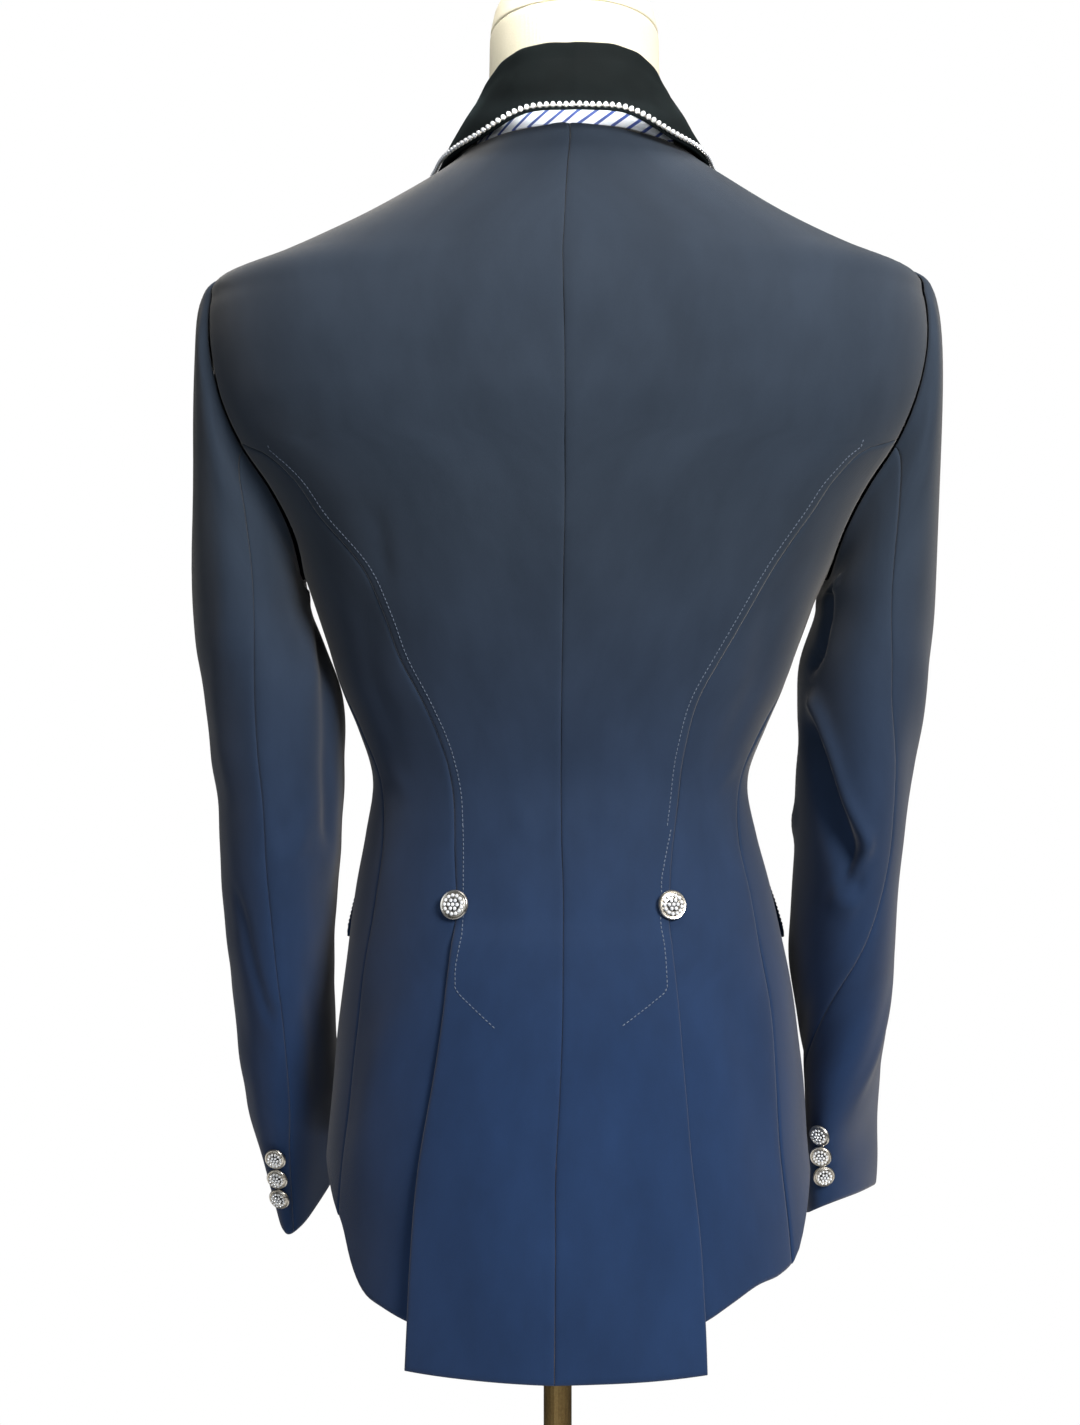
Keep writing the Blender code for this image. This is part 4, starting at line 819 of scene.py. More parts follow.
def between(first, last, count):
    # Columns from one edge of a sheet to the other, closer together along both.
    middle = np.linspace(0, 1, 17)[None, :, None]
    path = first[:, None, :] + (last - first)[:, None, :] * middle
    widths = edgeDistances(bodyPoint(path[..., 0], path[..., 1]))[1][:, 0]
    shares = spread(count, widths)
    return first[:, None, :] + (last - first)[:, None, :] * shares[..., None]


seamRoll = (0.0007, 0.0024)
hemRoll = (0.0009, 0.0030)
armRoll = (0.0007, 0.0022)


edgeRows = (0.0008, 0.0018, 0.0032)
seamHeights = refine((*rows["seam"], seamTop), rows["step"], edgeRows)
shoulder = refine(rows["shoulder"], rows["step"], edgeRows[:2])[1:]


def backPanel(side):
    steps = refine(rows["backArmhole"], rows["turnStep"])[1:]
    outer = np.concatenate([seamUp(side, seamHeights), armholeAt(side, steps), shoulderSeam(side, shoulder)])
    share = rowShare(seamHeights)
    low = seamHeights + (flapHemCentre - seamLow) * (1 - share) ** 6
    armRow = np.interp(-steps, -np.array(rows["backArmhole"]), np.arange(8.0))
    shoulderRow = np.interp(shoulder, rows["shoulder"], 7.0 + np.arange(5.0))
    high = seamTop + (coat["nape"] - seamTop) * np.concatenate([armRow, shoulderRow]) / 11.0
    centre = pair(0.0, np.concatenate([low, high]))
    grid = between(outer, centre, 34)
    return bodySheet("back_" + side, grid, flapLift, backFolds, (seamRoll, seamRoll, hemRoll, seamRoll),
                     (wool, lining), 11 if side == "left" else 12)


def ventEdge(side, heights):
    tuck = coat["underlap"] * ramp(coat["ventOpen"], -0.125, heights)
    hem = sideHem[side](10.0)[0]
    share = (heights - seamLow) / (coat["ventOpen"] - seamLow)
    height = np.where(share < 1, hem + (coat["ventOpen"] - hem) * share, heights)
    return intoArmhole(side, seamPoint(side, np.minimum(height, seamCurveTop), tuck), heights, "backSeam")


def sidePanel(side):
    back = ventEdge(side, seamHeights)
    front = sideEdge(side, seamHeights)
    grid = between(back, front, 30)
    share = np.clip((grid[..., 0] - back[:, None, 0]) / (front - back)[:, None, 0], 0, 1)
    up = rowShare(seamHeights)[:, None]
    top = armholeAt(side, armhole["backSeam"] + (armhole["sideSeam"] - armhole["backSeam"]) * share)
    straight = back[-1] + (front[-1] - back[-1]) * share[..., None]
    grid = grid + (top - straight) * (up**6)[..., None]
    low = back[0] + (front[0] - back[0]) * share[..., None]
    grid[..., 1] += (sideHem[side](np.abs(np.degrees(low[..., 0])))[..., 0] - low[..., 1]) * (1 - up) ** 4
    return bodySheet("side_" + side, grid, lambda t, h: 0.0 * h, sideFolds, (seamRoll, seamRoll, hemRoll, armRoll),
                     (wool, lining), 21 if side == "left" else 22)


def closingEdge(height):
    reach = np.clip((-0.105 - height) / 0.125, 0.0, 0.99)
    return -coat["frontLap"] + 0.080 * (1 - np.sqrt(1 - reach**2))


def rollLine(height):
    share = (height - coat["breakPoint"]) / (coat["neckPoint"] - coat["breakPoint"])
    return -coat["frontLap"] + (0.0625 + coat["frontLap"]) * share


def frontEdge(side, height):
    distance = np.where(height < coat["breakPoint"], closingEdge(height), rollLine(height))
    return pair(turnAt(centreFrontX(height) + sign[side] * distance, height, side, True), height)


def frontPanel(side):
    steps = refine(rows["frontArmhole"], rows["turnStep"])[1:]
    outer = np.concatenate([sideEdge(side, seamHeights), armholeAt(side, steps), shoulderSeam(side, shoulder)])
    count = len(seamHeights)
    if side == "left":
        outer[count:, 0] = np.where(outer[count:, 0] > 0, outer[count:, 0] - 2 * math.pi, outer[count:, 0])
    hem = sideHem[side](180.0)[0]
    low = hem + (coat["breakPoint"] - hem) * rowShare(seamHeights)
    armRow = np.interp(steps, rows["frontArmhole"], np.arange(11.0))
    shoulderRow = np.interp(shoulder, rows["shoulder"], 10.0 + np.arange(5.0))
    high = coat["breakPoint"] + (coat["neckPoint"] - coat["breakPoint"]) * np.concatenate([armRow, shoulderRow]) / 14.0
    inner = frontEdge(side, np.concatenate([low, high]))
    grid = between(outer, inner, 40)
    start = grid[0].copy()
    fall = (1 - rowShare(seamHeights)[:, None]) ** 4
    shift = sideHem[side](np.abs(np.degrees(start[:, 0])))[..., 0] - start[:, 1]
    grid[:count, 1:-1, 1] += (shift * fall)[:, 1:-1]
    return bodySheet("front_" + side, grid, lambda t, h: frontLift(side, t, h), frontFolds,
                     (seamRoll, hemRoll, hemRoll, seamRoll), (wool, lining), 31 if side == "left" else 32)


lapelLook = {"start": {"left": 0.137, "right": 0.112}, "gorge": 0.334, "notch": 0.290}
pocketLook = {"top": -0.056, "bottom": -0.099, "backTop": 101.0, "backBottom": 93.0, "turn": 52.0}


def lapel(side):
    share = refine((0.0, 1.0), 0.02, (0.004, 0.010))
    start = lapelLook["start"][side]
    foldHeight = start + (lapelLook["gorge"] - start) * share
    edgeHeight = start + (lapelLook["notch"] - start) * share
    fold = rollLine(foldHeight) + 0.001
    if side == "left":
        fold = np.maximum(fold, 0.002 - rollLine(foldHeight))
    foldX = centreFrontX(foldHeight) + sign[side] * fold
    edgeX = centreFrontX(edgeHeight) + sign[side] * lapelEdge(edgeHeight)[..., 0]
    inner = pair(turnAt(foldX, foldHeight, side, True), foldHeight)
    outer = pair(turnAt(edgeX, edgeHeight, side, True), edgeHeight)
    above = coat["cloth"] + 2 * coat["gap"]
    return bodySheet("lapel_" + side, between(inner, outer, 20), lambda t, h: above + frontLift(side, t, h),
                     None, ((0.0012, 0.004), hemRoll, hemRoll, hemRoll), (wool, wool), 41, uneven=0.0002)


def pocketFlap(side):
    share = np.linspace(0, 1, 19)
    height = pocketLook["top"] + (pocketLook["bottom"] - pocketLook["top"]) * share
    turn = pocketLook["backTop"] + (pocketLook["backBottom"] - pocketLook["backTop"]) * share
    back = pair(sign[side] * np.radians(turn), height)
    front = pair(sign[side] * math.radians(pocketLook["backTop"] + pocketLook["turn"]), height + 0.012)

    def lift(t, h):
        hang = 0.0012 * ramp(pocketLook["top"] + 0.012, pocketLook["bottom"], h)
        return coat["cloth"] + 0.0005 + hang + frontLift(side, t, h)

    return bodySheet("pocket_flap_" + side, between(back, front, 40), lift, None,
                     (hemRoll, hemRoll, (0.0012, 0.003), hemRoll), (wool, lining), 51, uneven=0.0002)


clothPieces = []
for side in ("left", "right"):
    for piece in (backPanel(side), sidePanel(side), frontPanel(side), lapel(side), pocketFlap(side)):
        clothPieces.append(piece)
print("coat: body panels", len(clothPieces))


# Sleeves

def ringPoint(side, angle, height):
    centreX, centreY, halfWidth, halfDepth, tilt, skew, roll = np.moveaxis(sleeveRing[side](height), -1, 0)[:7]
    turn = np.radians(angle)
    y = centreY - halfDepth * np.sin(turn)
    across = halfWidth * np.cos(turn)
    x = centreX + across + skew * (centreY - y)
    return np.stack([sign[side] * x, y, height + tilt * (y - centreY) + roll * across], axis=-1)


def sleevePoint(side, share, along):
    # share: 0 at the back seam, 1 at the front seam over the top sleeve, -1 over the under sleeve.
    # along: 0 at the armhole to 1 at the first full ring, and below that 1 + the distance under it.
    share, along = np.broadcast_arrays(np.asarray(share, dtype=float), np.asarray(along, dtype=float))
    topSteps = armhole["sleeveSeam"] - (armhole["sleeveSeam"] + 360.0 - armhole["frontSleeve"]) * share
    underSteps = armhole["sleeveSeam"] - (armhole["frontSleeve"] - armhole["sleeveSeam"]) * share
    steps = np.where(share >= 0, topSteps, underSteps)
    arc = np.where(share >= 0, -sleeve["topArc"] * share, -sleeve["underArc"] * share)
    height = sleeve["top"] - np.maximum(along - 1.0, 0.0)
    ring = ringPoint(side, sleeveRing[side](height)[..., 7] + arc, height)
    t = np.radians(steps)
    low = (1 - np.cos(t)) / 2
    out = unit(np.stack([sign[side] + 0 * t, -0.3 * np.sin(t), 0.15 * (1 - low) - 1.8 * low**1.3], axis=-1))
    hole = armholeAt(side, steps)
    standOff = sleeve["capStand"] + (sleeve["armpitStand"] - sleeve["capStand"]) * low**4
    start = bodyPoint(hole[..., 0], hole[..., 1])
    start = start + bodyNormal(hole[..., 0], hole[..., 1]) * standOff[..., None]
    start = start + out * (sleeve["overhang"] * (1 - low) ** 0.5)[..., None]
    length = np.linalg.norm(ring - start, axis=-1, keepdims=True)
    first = start + out * (0.003 + sleeve["fullness"][side] * length)
    ease = np.stack([sign[side] * 0.004 * (1 - low), 0 * low, 0 * low], axis=-1)
    second = ring + ease + np.array([0.0, 0.0, 0.5]) * length
    s = np.clip(along, 0, 1)[..., None]
    cap = (1 - s) ** 3 * start + 3 * (1 - s) ** 2 * s * first + 3 * (1 - s) * s * s * second + s**3 * ring
    return np.where((along >= 1)[..., None], ring, cap)


def sleeveNormal(side, share, along):
    step = 0.004
    across = sleevePoint(side, share + step, along) - sleevePoint(side, share - step, along)
    down = sleevePoint(side, share, along + step) - sleevePoint(side, share, np.maximum(along - step, 0.0))
    return unit(np.cross(down, across)) * sign[side]


metresPerArc = 0.00092
capLength = 0.11


def sleeveFolds(folds):
    return [([(arc * metresPerArc, down) for arc, down in line], depth, width, fade)
            for line, depth, width, fade in folds]


# Folds of the sleeves: line as (degrees from the back seam, + under and - over; metres below the first ring)
armFolds = {
    "right": sleeveFolds((
        (((70, -0.060), (66, -0.041), (65, 0.002), (69, 0.023), (85, 0.038)), -0.0070, 0.0048, 0.012),
        (((50, -0.056), (57, -0.042), (59, -0.024)), 0.0018, 0.0040, 0.010),
        (((78, 0.045), (70, 0.065), (65, 0.086), (58, 0.104), (48, 0.116), (36, 0.128), (22, 0.137)),
         0.0046, 0.0065, 0.012),
        (((92, 0.060), (84, 0.080), (76, 0.100), (66, 0.117), (52, 0.132), (36, 0.143)), -0.0105, 0.0110, 0.015),
        (((62, 0.146), (43, 0.151), (21, 0.156)), -0.0026, 0.0055, 0.012),
        (((62, 0.158), (43, 0.162), (20, 0.166)), 0.0022, 0.0065, 0.012),
        (((-40, 0.010), (-48, 0.070), (-40, 0.130)), 0.0014, 0.012, 0.040),
        (((-70, 0.060), (-95, 0.110), (-120, 0.130)), -0.0020, 0.010, 0.030),
        (((-80, 0.200), (-100, 0.240), (-110, 0.300)), 0.0014, 0.010, 0.040),
        (((120, 0.060), (140, 0.095), (160, 0.115)), -0.0030, 0.008, 0.020),
        (((115, 0.115), (140, 0.130), (165, 0.140)), 0.0024, 0.008, 0.020),
        (((30, 0.200), (20, 0.260), (15, 0.320)), -0.0012, 0.009, 0.040),
    )),
    "left": sleeveFolds((
        (((89, -0.068), (68, -0.020), (54, 0.023), (48, 0.055)), 0.0016, 0.0080, 0.020),
        (((80, -0.010), (66, 0.047), (65, 0.087), (66, 0.145)), -0.0036, 0.0085, 0.025),
        (((-38, 0.150), (-23, 0.206), (-16, 0.226), (1, 0.233)), -0.0018, 0.0060, 0.020),
        (((40, 0.100), (22, 0.120), (4, 0.128)), -0.0014, 0.0070, 0.015),
        (((44, 0.122), (24, 0.137), (0, 0.144)), 0.0014, 0.0070, 0.015),
        (((-30, -0.020), (-38, 0.060), (-34, 0.120)), 0.0012, 0.011, 0.040),
        (((-80, 0.050), (-100, 0.100), (-125, 0.125)), -0.0020, 0.010, 0.030),
        (((-85, 0.190), (-100, 0.240), (-112, 0.290)), 0.0013, 0.010, 0.040),
        (((118, 0.055), (140, 0.090), (160, 0.112)), -0.0028, 0.008, 0.020),
        (((30, 0.190), (34, 0.250), (30, 0.300)), -0.0013, 0.009, 0.040),
    )),
}


def sleeveFlat(share, along):
    arc = np.where(share >= 0, -sleeve["topArc"] * share, -sleeve["underArc"] * share)
    down = np.where(along < 1, (along - 1) * capLength, along - 1)
    return np.stack([arc * metresPerArc + 0 * down, down + 0 * arc], axis=-1)


def sleeveLift(side, share, along):
    flat = sleeveFlat(share, along)
    seed = 61 if side == "left" else 62
    away = foldField(flat, armFolds[side]) * ramp(0.0, 0.12, along)
    return away + 0.0006 * wave(flat[..., 0], flat[..., 1], seed, 0.05) * ramp(0.0, 0.3, along)


def smoothJoin(points, along):
    # Evens the rows out where the sleeve's cap runs into the arm. Both sheets of a sleeve share their first column.
    place = runOf(points[:, 0])
    weights = np.exp(-(((place[:, None] - place[None, :]) / 0.014) ** 2)) * np.gradient(place)[None, :]
    smooth = np.einsum("rk,kcd->rcd", weights / weights.sum(axis=1, keepdims=True), points)
    share = 1 - ramp(0.012, 0.050, np.abs(place - np.interp(1.0, along, place)))
    return points + (smooth - points) * share[:, None, None]


def sleevePiece(name, side, way, count):
    low = sleeve["top"] - sleeveTable[side][0][0]
    cap = refine((0.0, 1.0), 0.04, (0.008, 0.02, 0.035))
    arm = refine((1.0, 1 + low), 0.004, edgeRows)[1:]
    along = np.concatenate([cap, arm])
    guide = sleevePoint(side, way * np.linspace(0, 1, 25)[None, :], along[:, None])
    shares = way * spread(count, edgeDistances(guide)[1][:, 0])
    grid = np.broadcast_to(along[:, None], shares.shape)
    normals = sleeveNormal(side, shares, grid)
    outer = smoothJoin(sleevePoint(side, shares, grid), along) + normals * sleeveLift(side, shares, grid)[..., None]
    uvs = cutMap(outer)
    outer = shrink(rollEdges(outer, normals, (seamRoll, seamRoll, armRoll, hemRoll)), coat["seamGap"])
    shown = gridNormals(outer)
    shown = np.where((shown * normals).sum(axis=-1, keepdims=True) < 0, -shown, shown)
    flipped = way * sign[side] < 0
    return clothShell(name, settle(outer), shown, uvs, coat["cloth"], (wool, lining), flipped)


for side in ("left", "right"):
    clothPieces.append(sleevePiece("top_sleeve_" + side, side, 1, 64))
    clothPieces.append(sleevePiece("under_sleeve_" + side, side, -1, 46))
print("coat: sleeves, with the body", len(clothPieces), "sheets")


# Collar, its striped band and its chain of stones

def collarRing(place):
    row = collarStation(np.abs(place))
    way = np.where(np.asarray(place) >= 0, 1.0, -1.0)
    return [np.stack([neckShift + way * row[..., first], row[..., first + 1], row[..., first + 2]], axis=-1)
            for first in (0, 3, 6)]


def collarFrame(place):
    place = np.asarray(place, dtype=float)
    base, fold, edge = collarRing(place)
    before = collarRing(np.maximum(place - 0.01, -1.0))
    after = collarRing(np.minimum(place + 0.01, 1.0))
    path = unit(after[2] - before[2])
    fall = unit(np.cross(path, fold - edge))
    stand = unit(np.cross(path, fold - base))
    crown = unit(unit(fold - base) + unit(fold - edge))
    return base, fold, edge, stand, fall, crown, path


def sectionSweep(name, rings, uvs, looks):
    # A closed piece swept through rings of points, each end closed by one face.
    count, around = rings.shape[:2]
    index = np.arange(count * around).reshape(count, around)
    a = index[:-1]
    b = index[1:]
    sides = np.stack([a, np.roll(a, -1, axis=1), np.roll(b, -1, axis=1), b], axis=-1).reshape(-1, 4)
    faces = sides.tolist() + [index[0, ::-1].tolist(), index[-1].tolist()]
    return newObject(name, rings, faces, uvs, looks)


def editOn(thing):
    bpy.ops.object.select_all(action="DESELECT")
    bpy.context.view_layer.objects.active = thing
    thing.select_set(True)
    bpy.ops.object.mode_set(mode="EDIT")


def editOff(thing):
    bpy.ops.object.mode_set(mode="OBJECT")
    thing.select_set(False)


def outward(thing):
    # Turns a closed piece's faces outwards.
    editOn(thing)
    bpy.ops.mesh.select_all(action="SELECT")
    bpy.ops.mesh.normals_make_consistent(inside=False)
    editOff(thing)
    return thing


collarLook = {
    "stations": 161, "bend": 0.20, "crown": 0.0004, "swell": 0.0015, "uneven": 0.0003,
    "mapLength": 0.46, "mapHigh": 0.09,
}


def makeCollar():
    places = np.linspace(-1, 1, collarLook["stations"])
    base, fold, edge, stand, fall, crown, path = collarFrame(places)
    lowStand = fold - (fold - base) * collarLook["bend"]
    lowFall = fold - (fold - edge) * collarLook["bend"]
    lift = 2 * (fold + crown * collarLook["crown"]) - (lowStand + lowFall) / 2
    line = []
    for s in np.linspace(0, 1, 9)[:-1]:
        line.append(base + (lowStand - base) * s)
    for s in np.linspace(0, 1, 10)[:-1]:
        line.append((1 - s) ** 2 * lowStand + 2 * s * (1 - s) * lift + s * s * lowFall)
    for s in np.linspace(0, 1, 13):
        line.append(lowFall + (edge - lowFall) * s + fall * collarLook["swell"] * math.sin(math.pi * s))
    line = np.stack(line, axis=1)
    along = unit(np.gradient(line, axis=1))
    out = unit(np.cross(path[:, None, :], along))
    wavy = collarLook["uneven"] * wave(places[:, None] * 0.25, np.arange(line.shape[1])[None, :] * 0.004, 71, 0.03)
    half = coat["cloth"] / 2
    outside = line - out * (half + wavy)[..., None]
    inside = line + out * half
    end = line[:, -1] + along[:, -1] * half * 0.6
    start = line[:, 0] - along[:, 0] * half * 0.4
    rings = np.concatenate([start[:, None], outside, end[:, None], inside[:, ::-1]], axis=1)
    span = np.linspace(0, collarLook["mapHigh"], rings.shape[1])
    uvs = np.stack([places[:, None] * collarLook["mapLength"] / 2 + 0 * span, 0 * places[:, None] + span], axis=-1)
    return outward(sectionSweep("collar", settle(rings), uvs, (velvet,)))


bandLook = {
    "end": 0.455, "taper": 0.36, "stations": 91, "away": 0.0005, "below": 0.0042,
    "thick": (0.0008, 0.0020), "tall": (0.0070, 0.0080), "mapHigh": 0.014,
}


def makeBand():
    places = np.linspace(-bandLook["end"], bandLook["end"], bandLook["stations"])
    base, fold, edge, stand, fall, crown, path = collarFrame(places)
    up = unit(fold - base)
    full = ramp(bandLook["end"], bandLook["taper"], np.abs(places))
    near = base + stand * (coat["cloth"] / 2 + bandLook["away"]) - up * bandLook["below"]
    far = near + stand * (bandLook["thick"][0] + bandLook["thick"][1] * full)[:, None]
    levels = np.linspace(0, 1, 9)
    tall = (bandLook["tall"][0] + bandLook["tall"][1] * full)[:, None, None]
    outside = far[:, None] + up[:, None] * levels[None, :, None] * tall
    inside = near[:, None] + up[:, None] * levels[None, :, None] * tall
    rings = np.concatenate([outside, inside[:, ::-1]], axis=1)
    lengths = runOf(far)
    high = np.concatenate([levels, levels[::-1]]) * bandLook["mapHigh"]
    uvs = np.stack([lengths[:, None] + 0 * high, 0 * lengths[:, None] + high], axis=-1)
    return outward(sectionSweep("collar_band", settle(rings), uvs, (striped,)))


def pickFaces(thing, test):
    bpy.ops.mesh.select_all(action="DESELECT")
    bpy.ops.mesh.select_mode(type="FACE")
    bpy.ops.object.mode_set(mode="OBJECT")
    for face in thing.data.polygons:
        face.select = test(face)
    bpy.ops.object.mode_set(mode="EDIT")


def meshArrays(thing):
    # A model's points and faces, taken so that copies of it can be joined; the model itself goes.
    points = np.array([list(v.co) for v in thing.data.vertices])
    faces = [list(face.vertices) for face in thing.data.polygons]
    bpy.data.objects.remove(thing, do_unlink=True)
    return points, faces


def jewelModel(sides, width, height):
    # A low cut stone: a round table, a sloping crown and a short foot.
    bpy.ops.object.select_all(action="DESELECT")
    bpy.ops.mesh.primitive_cylinder_add(vertices=sides, radius=width, depth=height * 0.3)
    stone = bpy.context.active_object
    editOn(stone)
    pickFaces(stone, lambda face: face.normal.z > 0.9)
    bpy.ops.mesh.extrude_region_move(TRANSFORM_OT_translate={"value": (0, 0, height * 0.7)})
    bpy.ops.transform.resize(value=(0.55, 0.55, 1.0))
    bpy.ops.mesh.inset(thickness=width * 0.08)
    editOff(stone)
    return meshArrays(stone)


def stitchModel():
    # One laid stitch along X: a short thread, fat in its middle.
    bpy.ops.object.select_all(action="DESELECT")
    bpy.ops.mesh.primitive_cylinder_add(vertices=5, radius=1.0, depth=1.2, rotation=(0, math.pi / 2, 0))
    thing = bpy.context.active_object
    bpy.ops.object.transform_apply(location=True, rotation=True, scale=True)
    editOn(thing)
    pickFaces(thing, lambda face: abs(face.normal.x) > 0.9 and face.normal.x > 0)
    bpy.ops.mesh.extrude_region_move(TRANSFORM_OT_translate={"value": (0.4, 0, 0)})
    bpy.ops.transform.resize(value=(1.0, 0.35, 0.35))
    pickFaces(thing, lambda face: face.normal.x < -0.9)
    bpy.ops.mesh.extrude_region_move(TRANSFORM_OT_translate={"value": (-0.4, 0, 0)})
    bpy.ops.transform.resize(value=(1.0, 0.35, 0.35))
    editOff(thing)
    return meshArrays(thing)


def placed(model, centre, axes, scale):
    # Copies a model's points to a place. axes are its own x, y and z directions.
    points, faces = model
    frameAxes = np.array(axes)
    return centre + (points * np.array(scale)) @ frameAxes, faces


def joined(parts):
    points = []
    faces = []
    marks = []
    count = 0
    for (partPoints, partFaces), mark in parts:
        points.append(partPoints)
        faces += [[corner + count for corner in face] for face in partFaces]
        marks += [mark] * len(partFaces)
        count += len(partPoints)
    return np.concatenate(points), faces, marks


chain = {
    "pitch": 0.00374, "stone": (0.00150, 0.00150, 0.0015), "cup": (0.00166, 0.00166, 0.0010),
    "link": (0.0010, 0.0004, 0.0008), "reach": 0.985, "inset": 0.0015, "upFromEdge": 0.0012, "away": 0.0005,
    "cupHeight": 0.0004, "stoneHeight": 0.0013,
}


def makeChain():
    stoneModel = jewelModel(10, 1.0, 1.0)
    cupModel = jewelModel(8, 1.0, 1.0)
    base, fold, edge, stand, fall, crown, path = collarFrame(np.linspace(-chain["reach"], chain["reach"], 801))
    line = settle(edge + unit(fold - edge) * chain["upFromEdge"] + fall * (coat["cloth"] / 2 + chain["away"]))
    lengths = runOf(line)
    parts = []
    before = None
    count = int(round((lengths[-1] - 2 * chain["inset"]) / chain["pitch"])) + 1
    for at in np.linspace(chain["inset"], lengths[-1] - chain["inset"], count):
        centre = valueAt(at, lengths, line)
        out = unit(valueAt(at, lengths, fall))
        way = valueAt(at, lengths, path)
        first = unit(way - out * (way @ out))
        second = np.cross(out, first)
        if before is not None:
            link = unit(centre - before)
            axes = (link, np.cross(out, link), out)
            parts.append((placed(cupModel, (before + centre) / 2, axes, chain["link"]), 1))
        before = centre
        axes = (first, second, out)
        parts.append((placed(cupModel, centre + out * chain["cupHeight"], axes, chain["cup"]), 1))
        parts.append((placed(stoneModel, centre + out * chain["stoneHeight"], axes, chain["stone"]), 0))
    points, faces, marks = joined(parts)
    return newObject("crystal_chain", points, faces, None, (crystal, silver), marks)


collarPiece = makeCollar()
bandPiece = makeBand()
chainPiece = makeChain()
print("coat: collar, band and chain")


# Buttons: a stepped rim of metal with small stones set close together on its dome

buttonLook = {
    "waist": {"size": 0.0085, "rings": ((1, 0.0), (6, 0.0026), (13, 0.0053)), "stone": 0.00112},
    "cuff": {"size": 0.0067, "rings": ((1, 0.0), (6, 0.0020), (12, 0.0040)), "stone": 0.00084},
    "shank": 0.0022, "shankHeight": 0.0026, "stoneHeight": 0.0008, "smooth": 42.0,
}
waistButtons = {"height": -0.0708, "fromCentre": 0.0605, "seat": 0.0006, "tip": 0.12}
frontButtons = ((0.083, -0.0001), (0.013, 0.0003), (-0.057, -0.0002))  # height, seat
cuffButtons = {  # height of the top one, degrees before the seam, seat
    "right": (-0.2100, 59.0, -0.0001), "left": (-0.2185, 19.0, 0.0002), "pitch": 0.0137,
}


def buttonMetal(size):
    bpy.ops.object.select_all(action="DESELECT")
    high = buttonLook["shankHeight"]
    bpy.ops.mesh.primitive_cylinder_add(vertices=40, radius=buttonLook["shank"], depth=high, location=(0, 0, high / 2))
    metal = bpy.context.active_object
    editOn(metal)
    pickFaces(metal, lambda face: face.normal.z > 0.9)
    steps = (  # reach, height above the cloth
        (0.84, 0.0026), (0.95, 0.0029), (1.0, 0.0034), (0.985, 0.0040), (0.93, 0.0044), (0.865, 0.0043),
        (0.84, 0.0038), (0.815, 0.0037), (0.80, 0.0040), (0.775, 0.0041), (0.755, 0.0037), (0.45, 0.0042),
        (0.20, 0.0044),
    )
    before = (buttonLook["shank"], high)
    for share, height in steps:
        scale = share * size / before[0]
        bpy.ops.mesh.extrude_region_move(TRANSFORM_OT_translate={"value": (0, 0, height - before[1])})
        bpy.ops.transform.resize(value=(scale, scale, 1.0))
        before = (share * size, height)
    bpy.ops.mesh.inset(thickness=size * 0.08)
    editOff(metal)
    return meshArrays(metal)


def setButton(name, kind, metals, stoneModel, surface, normal, seat, tip):
    look = buttonLook[kind]
    axis = unit(normal + np.array([0.0, 0.0, -tip]))
    first = unit(np.cross(np.array([0.0, 0.0, 1.0]), axis))
    second = np.cross(axis, first)
    origin = settle(surface + normal * seat)
    points, faces = metals[kind]
    well = [np.hypot(*points[face].mean(axis=0)[:2]) < 0.75 * look["size"] and points[face][:, 2].max() > 0.0030
            for face in faces]
    there = placed(metals[kind], origin, (first, second, axis), (1, 1, 1))[0]
    parts = [((there, [face for face, deep in zip(faces, well) if not deep]), 0),
             ((there, [face for face, deep in zip(faces, well) if deep]), 2)]
    for count, reach in look["rings"]:
        for number in range(count):
            angle = 2 * math.pi * (number + 0.5 * (count > 6)) / count
            away = first * math.cos(angle) * reach + second * math.sin(angle) * reach
            height = 0.0046 - 0.0008 * (reach / look["size"] / 0.7) ** 2
            lean = unit(axis + away * 22)
            side = unit(first - lean * (first @ lean))
            parts.append((placed(stoneModel, origin + away + axis * height, (side, np.cross(lean, side), lean),
                                 (look["stone"], look["stone"], buttonLook["stoneHeight"])), 1))
    points, faces, marks = joined(parts)
    button = newObject(name, points, faces, None, (silver, crystal, darkMetal), marks)
    editOn(button)
    bpy.ops.mesh.select_all(action="SELECT")
    bpy.ops.mesh.remove_doubles(threshold=0.000002)
    editOff(button)
    button.select_set(True)
    bpy.ops.object.shade_smooth_by_angle(angle=math.radians(buttonLook["smooth"]))
    button.select_set(False)
    return button


def makeButtons():
    metals = {kind: buttonMetal(buttonLook[kind]["size"]) for kind in ("waist", "cuff")}
    stoneModel = jewelModel(9, 1.0, 1.0)
    made = []
    height = waistButtons["height"]
    for side in ("left", "right"):
        turn = turnAt(centreBackX(height) + sign[side] * waistButtons["fromCentre"], height, side, False)
        made.append(setButton("waist_button_" + side, "waist", metals, stoneModel, bodyPoint(turn, height),
                              bodyNormal(turn, height), waistButtons["seat"], waistButtons["tip"]))
    for number, (height, seat) in enumerate(frontButtons):
        normal = bodyNormal(math.pi, height)
        surface = bodyPoint(math.pi, height) + normal * frontLift("right", math.pi, np.array(height))
        name = "front_button_%d" % (number + 1)
        made.append(setButton(name, "waist", metals, stoneModel, surface, normal, seat, 0.0))
    for side in ("right", "left"):
        top, beforeSeam, seat = cuffButtons[side]
        share = beforeSeam / sleeve["topArc"]
        along = 1 + sleeve["top"] - top
        for number in range(3):
            here = sleevePoint(side, share, along)
            made.append(setButton("cuff_button_%s_%d" % (side, number + 1), "cuff", metals, stoneModel, here,
                                  sleeveNormal(side, share, along), seat, 0.0))
            down = along + np.arange(0, 0.03, 0.0002)
            far = np.linalg.norm(sleevePoint(side, share, down) - here, axis=-1)
            along = down[int(np.argmax(far >= cuffButtons["pitch"]))]
    return made


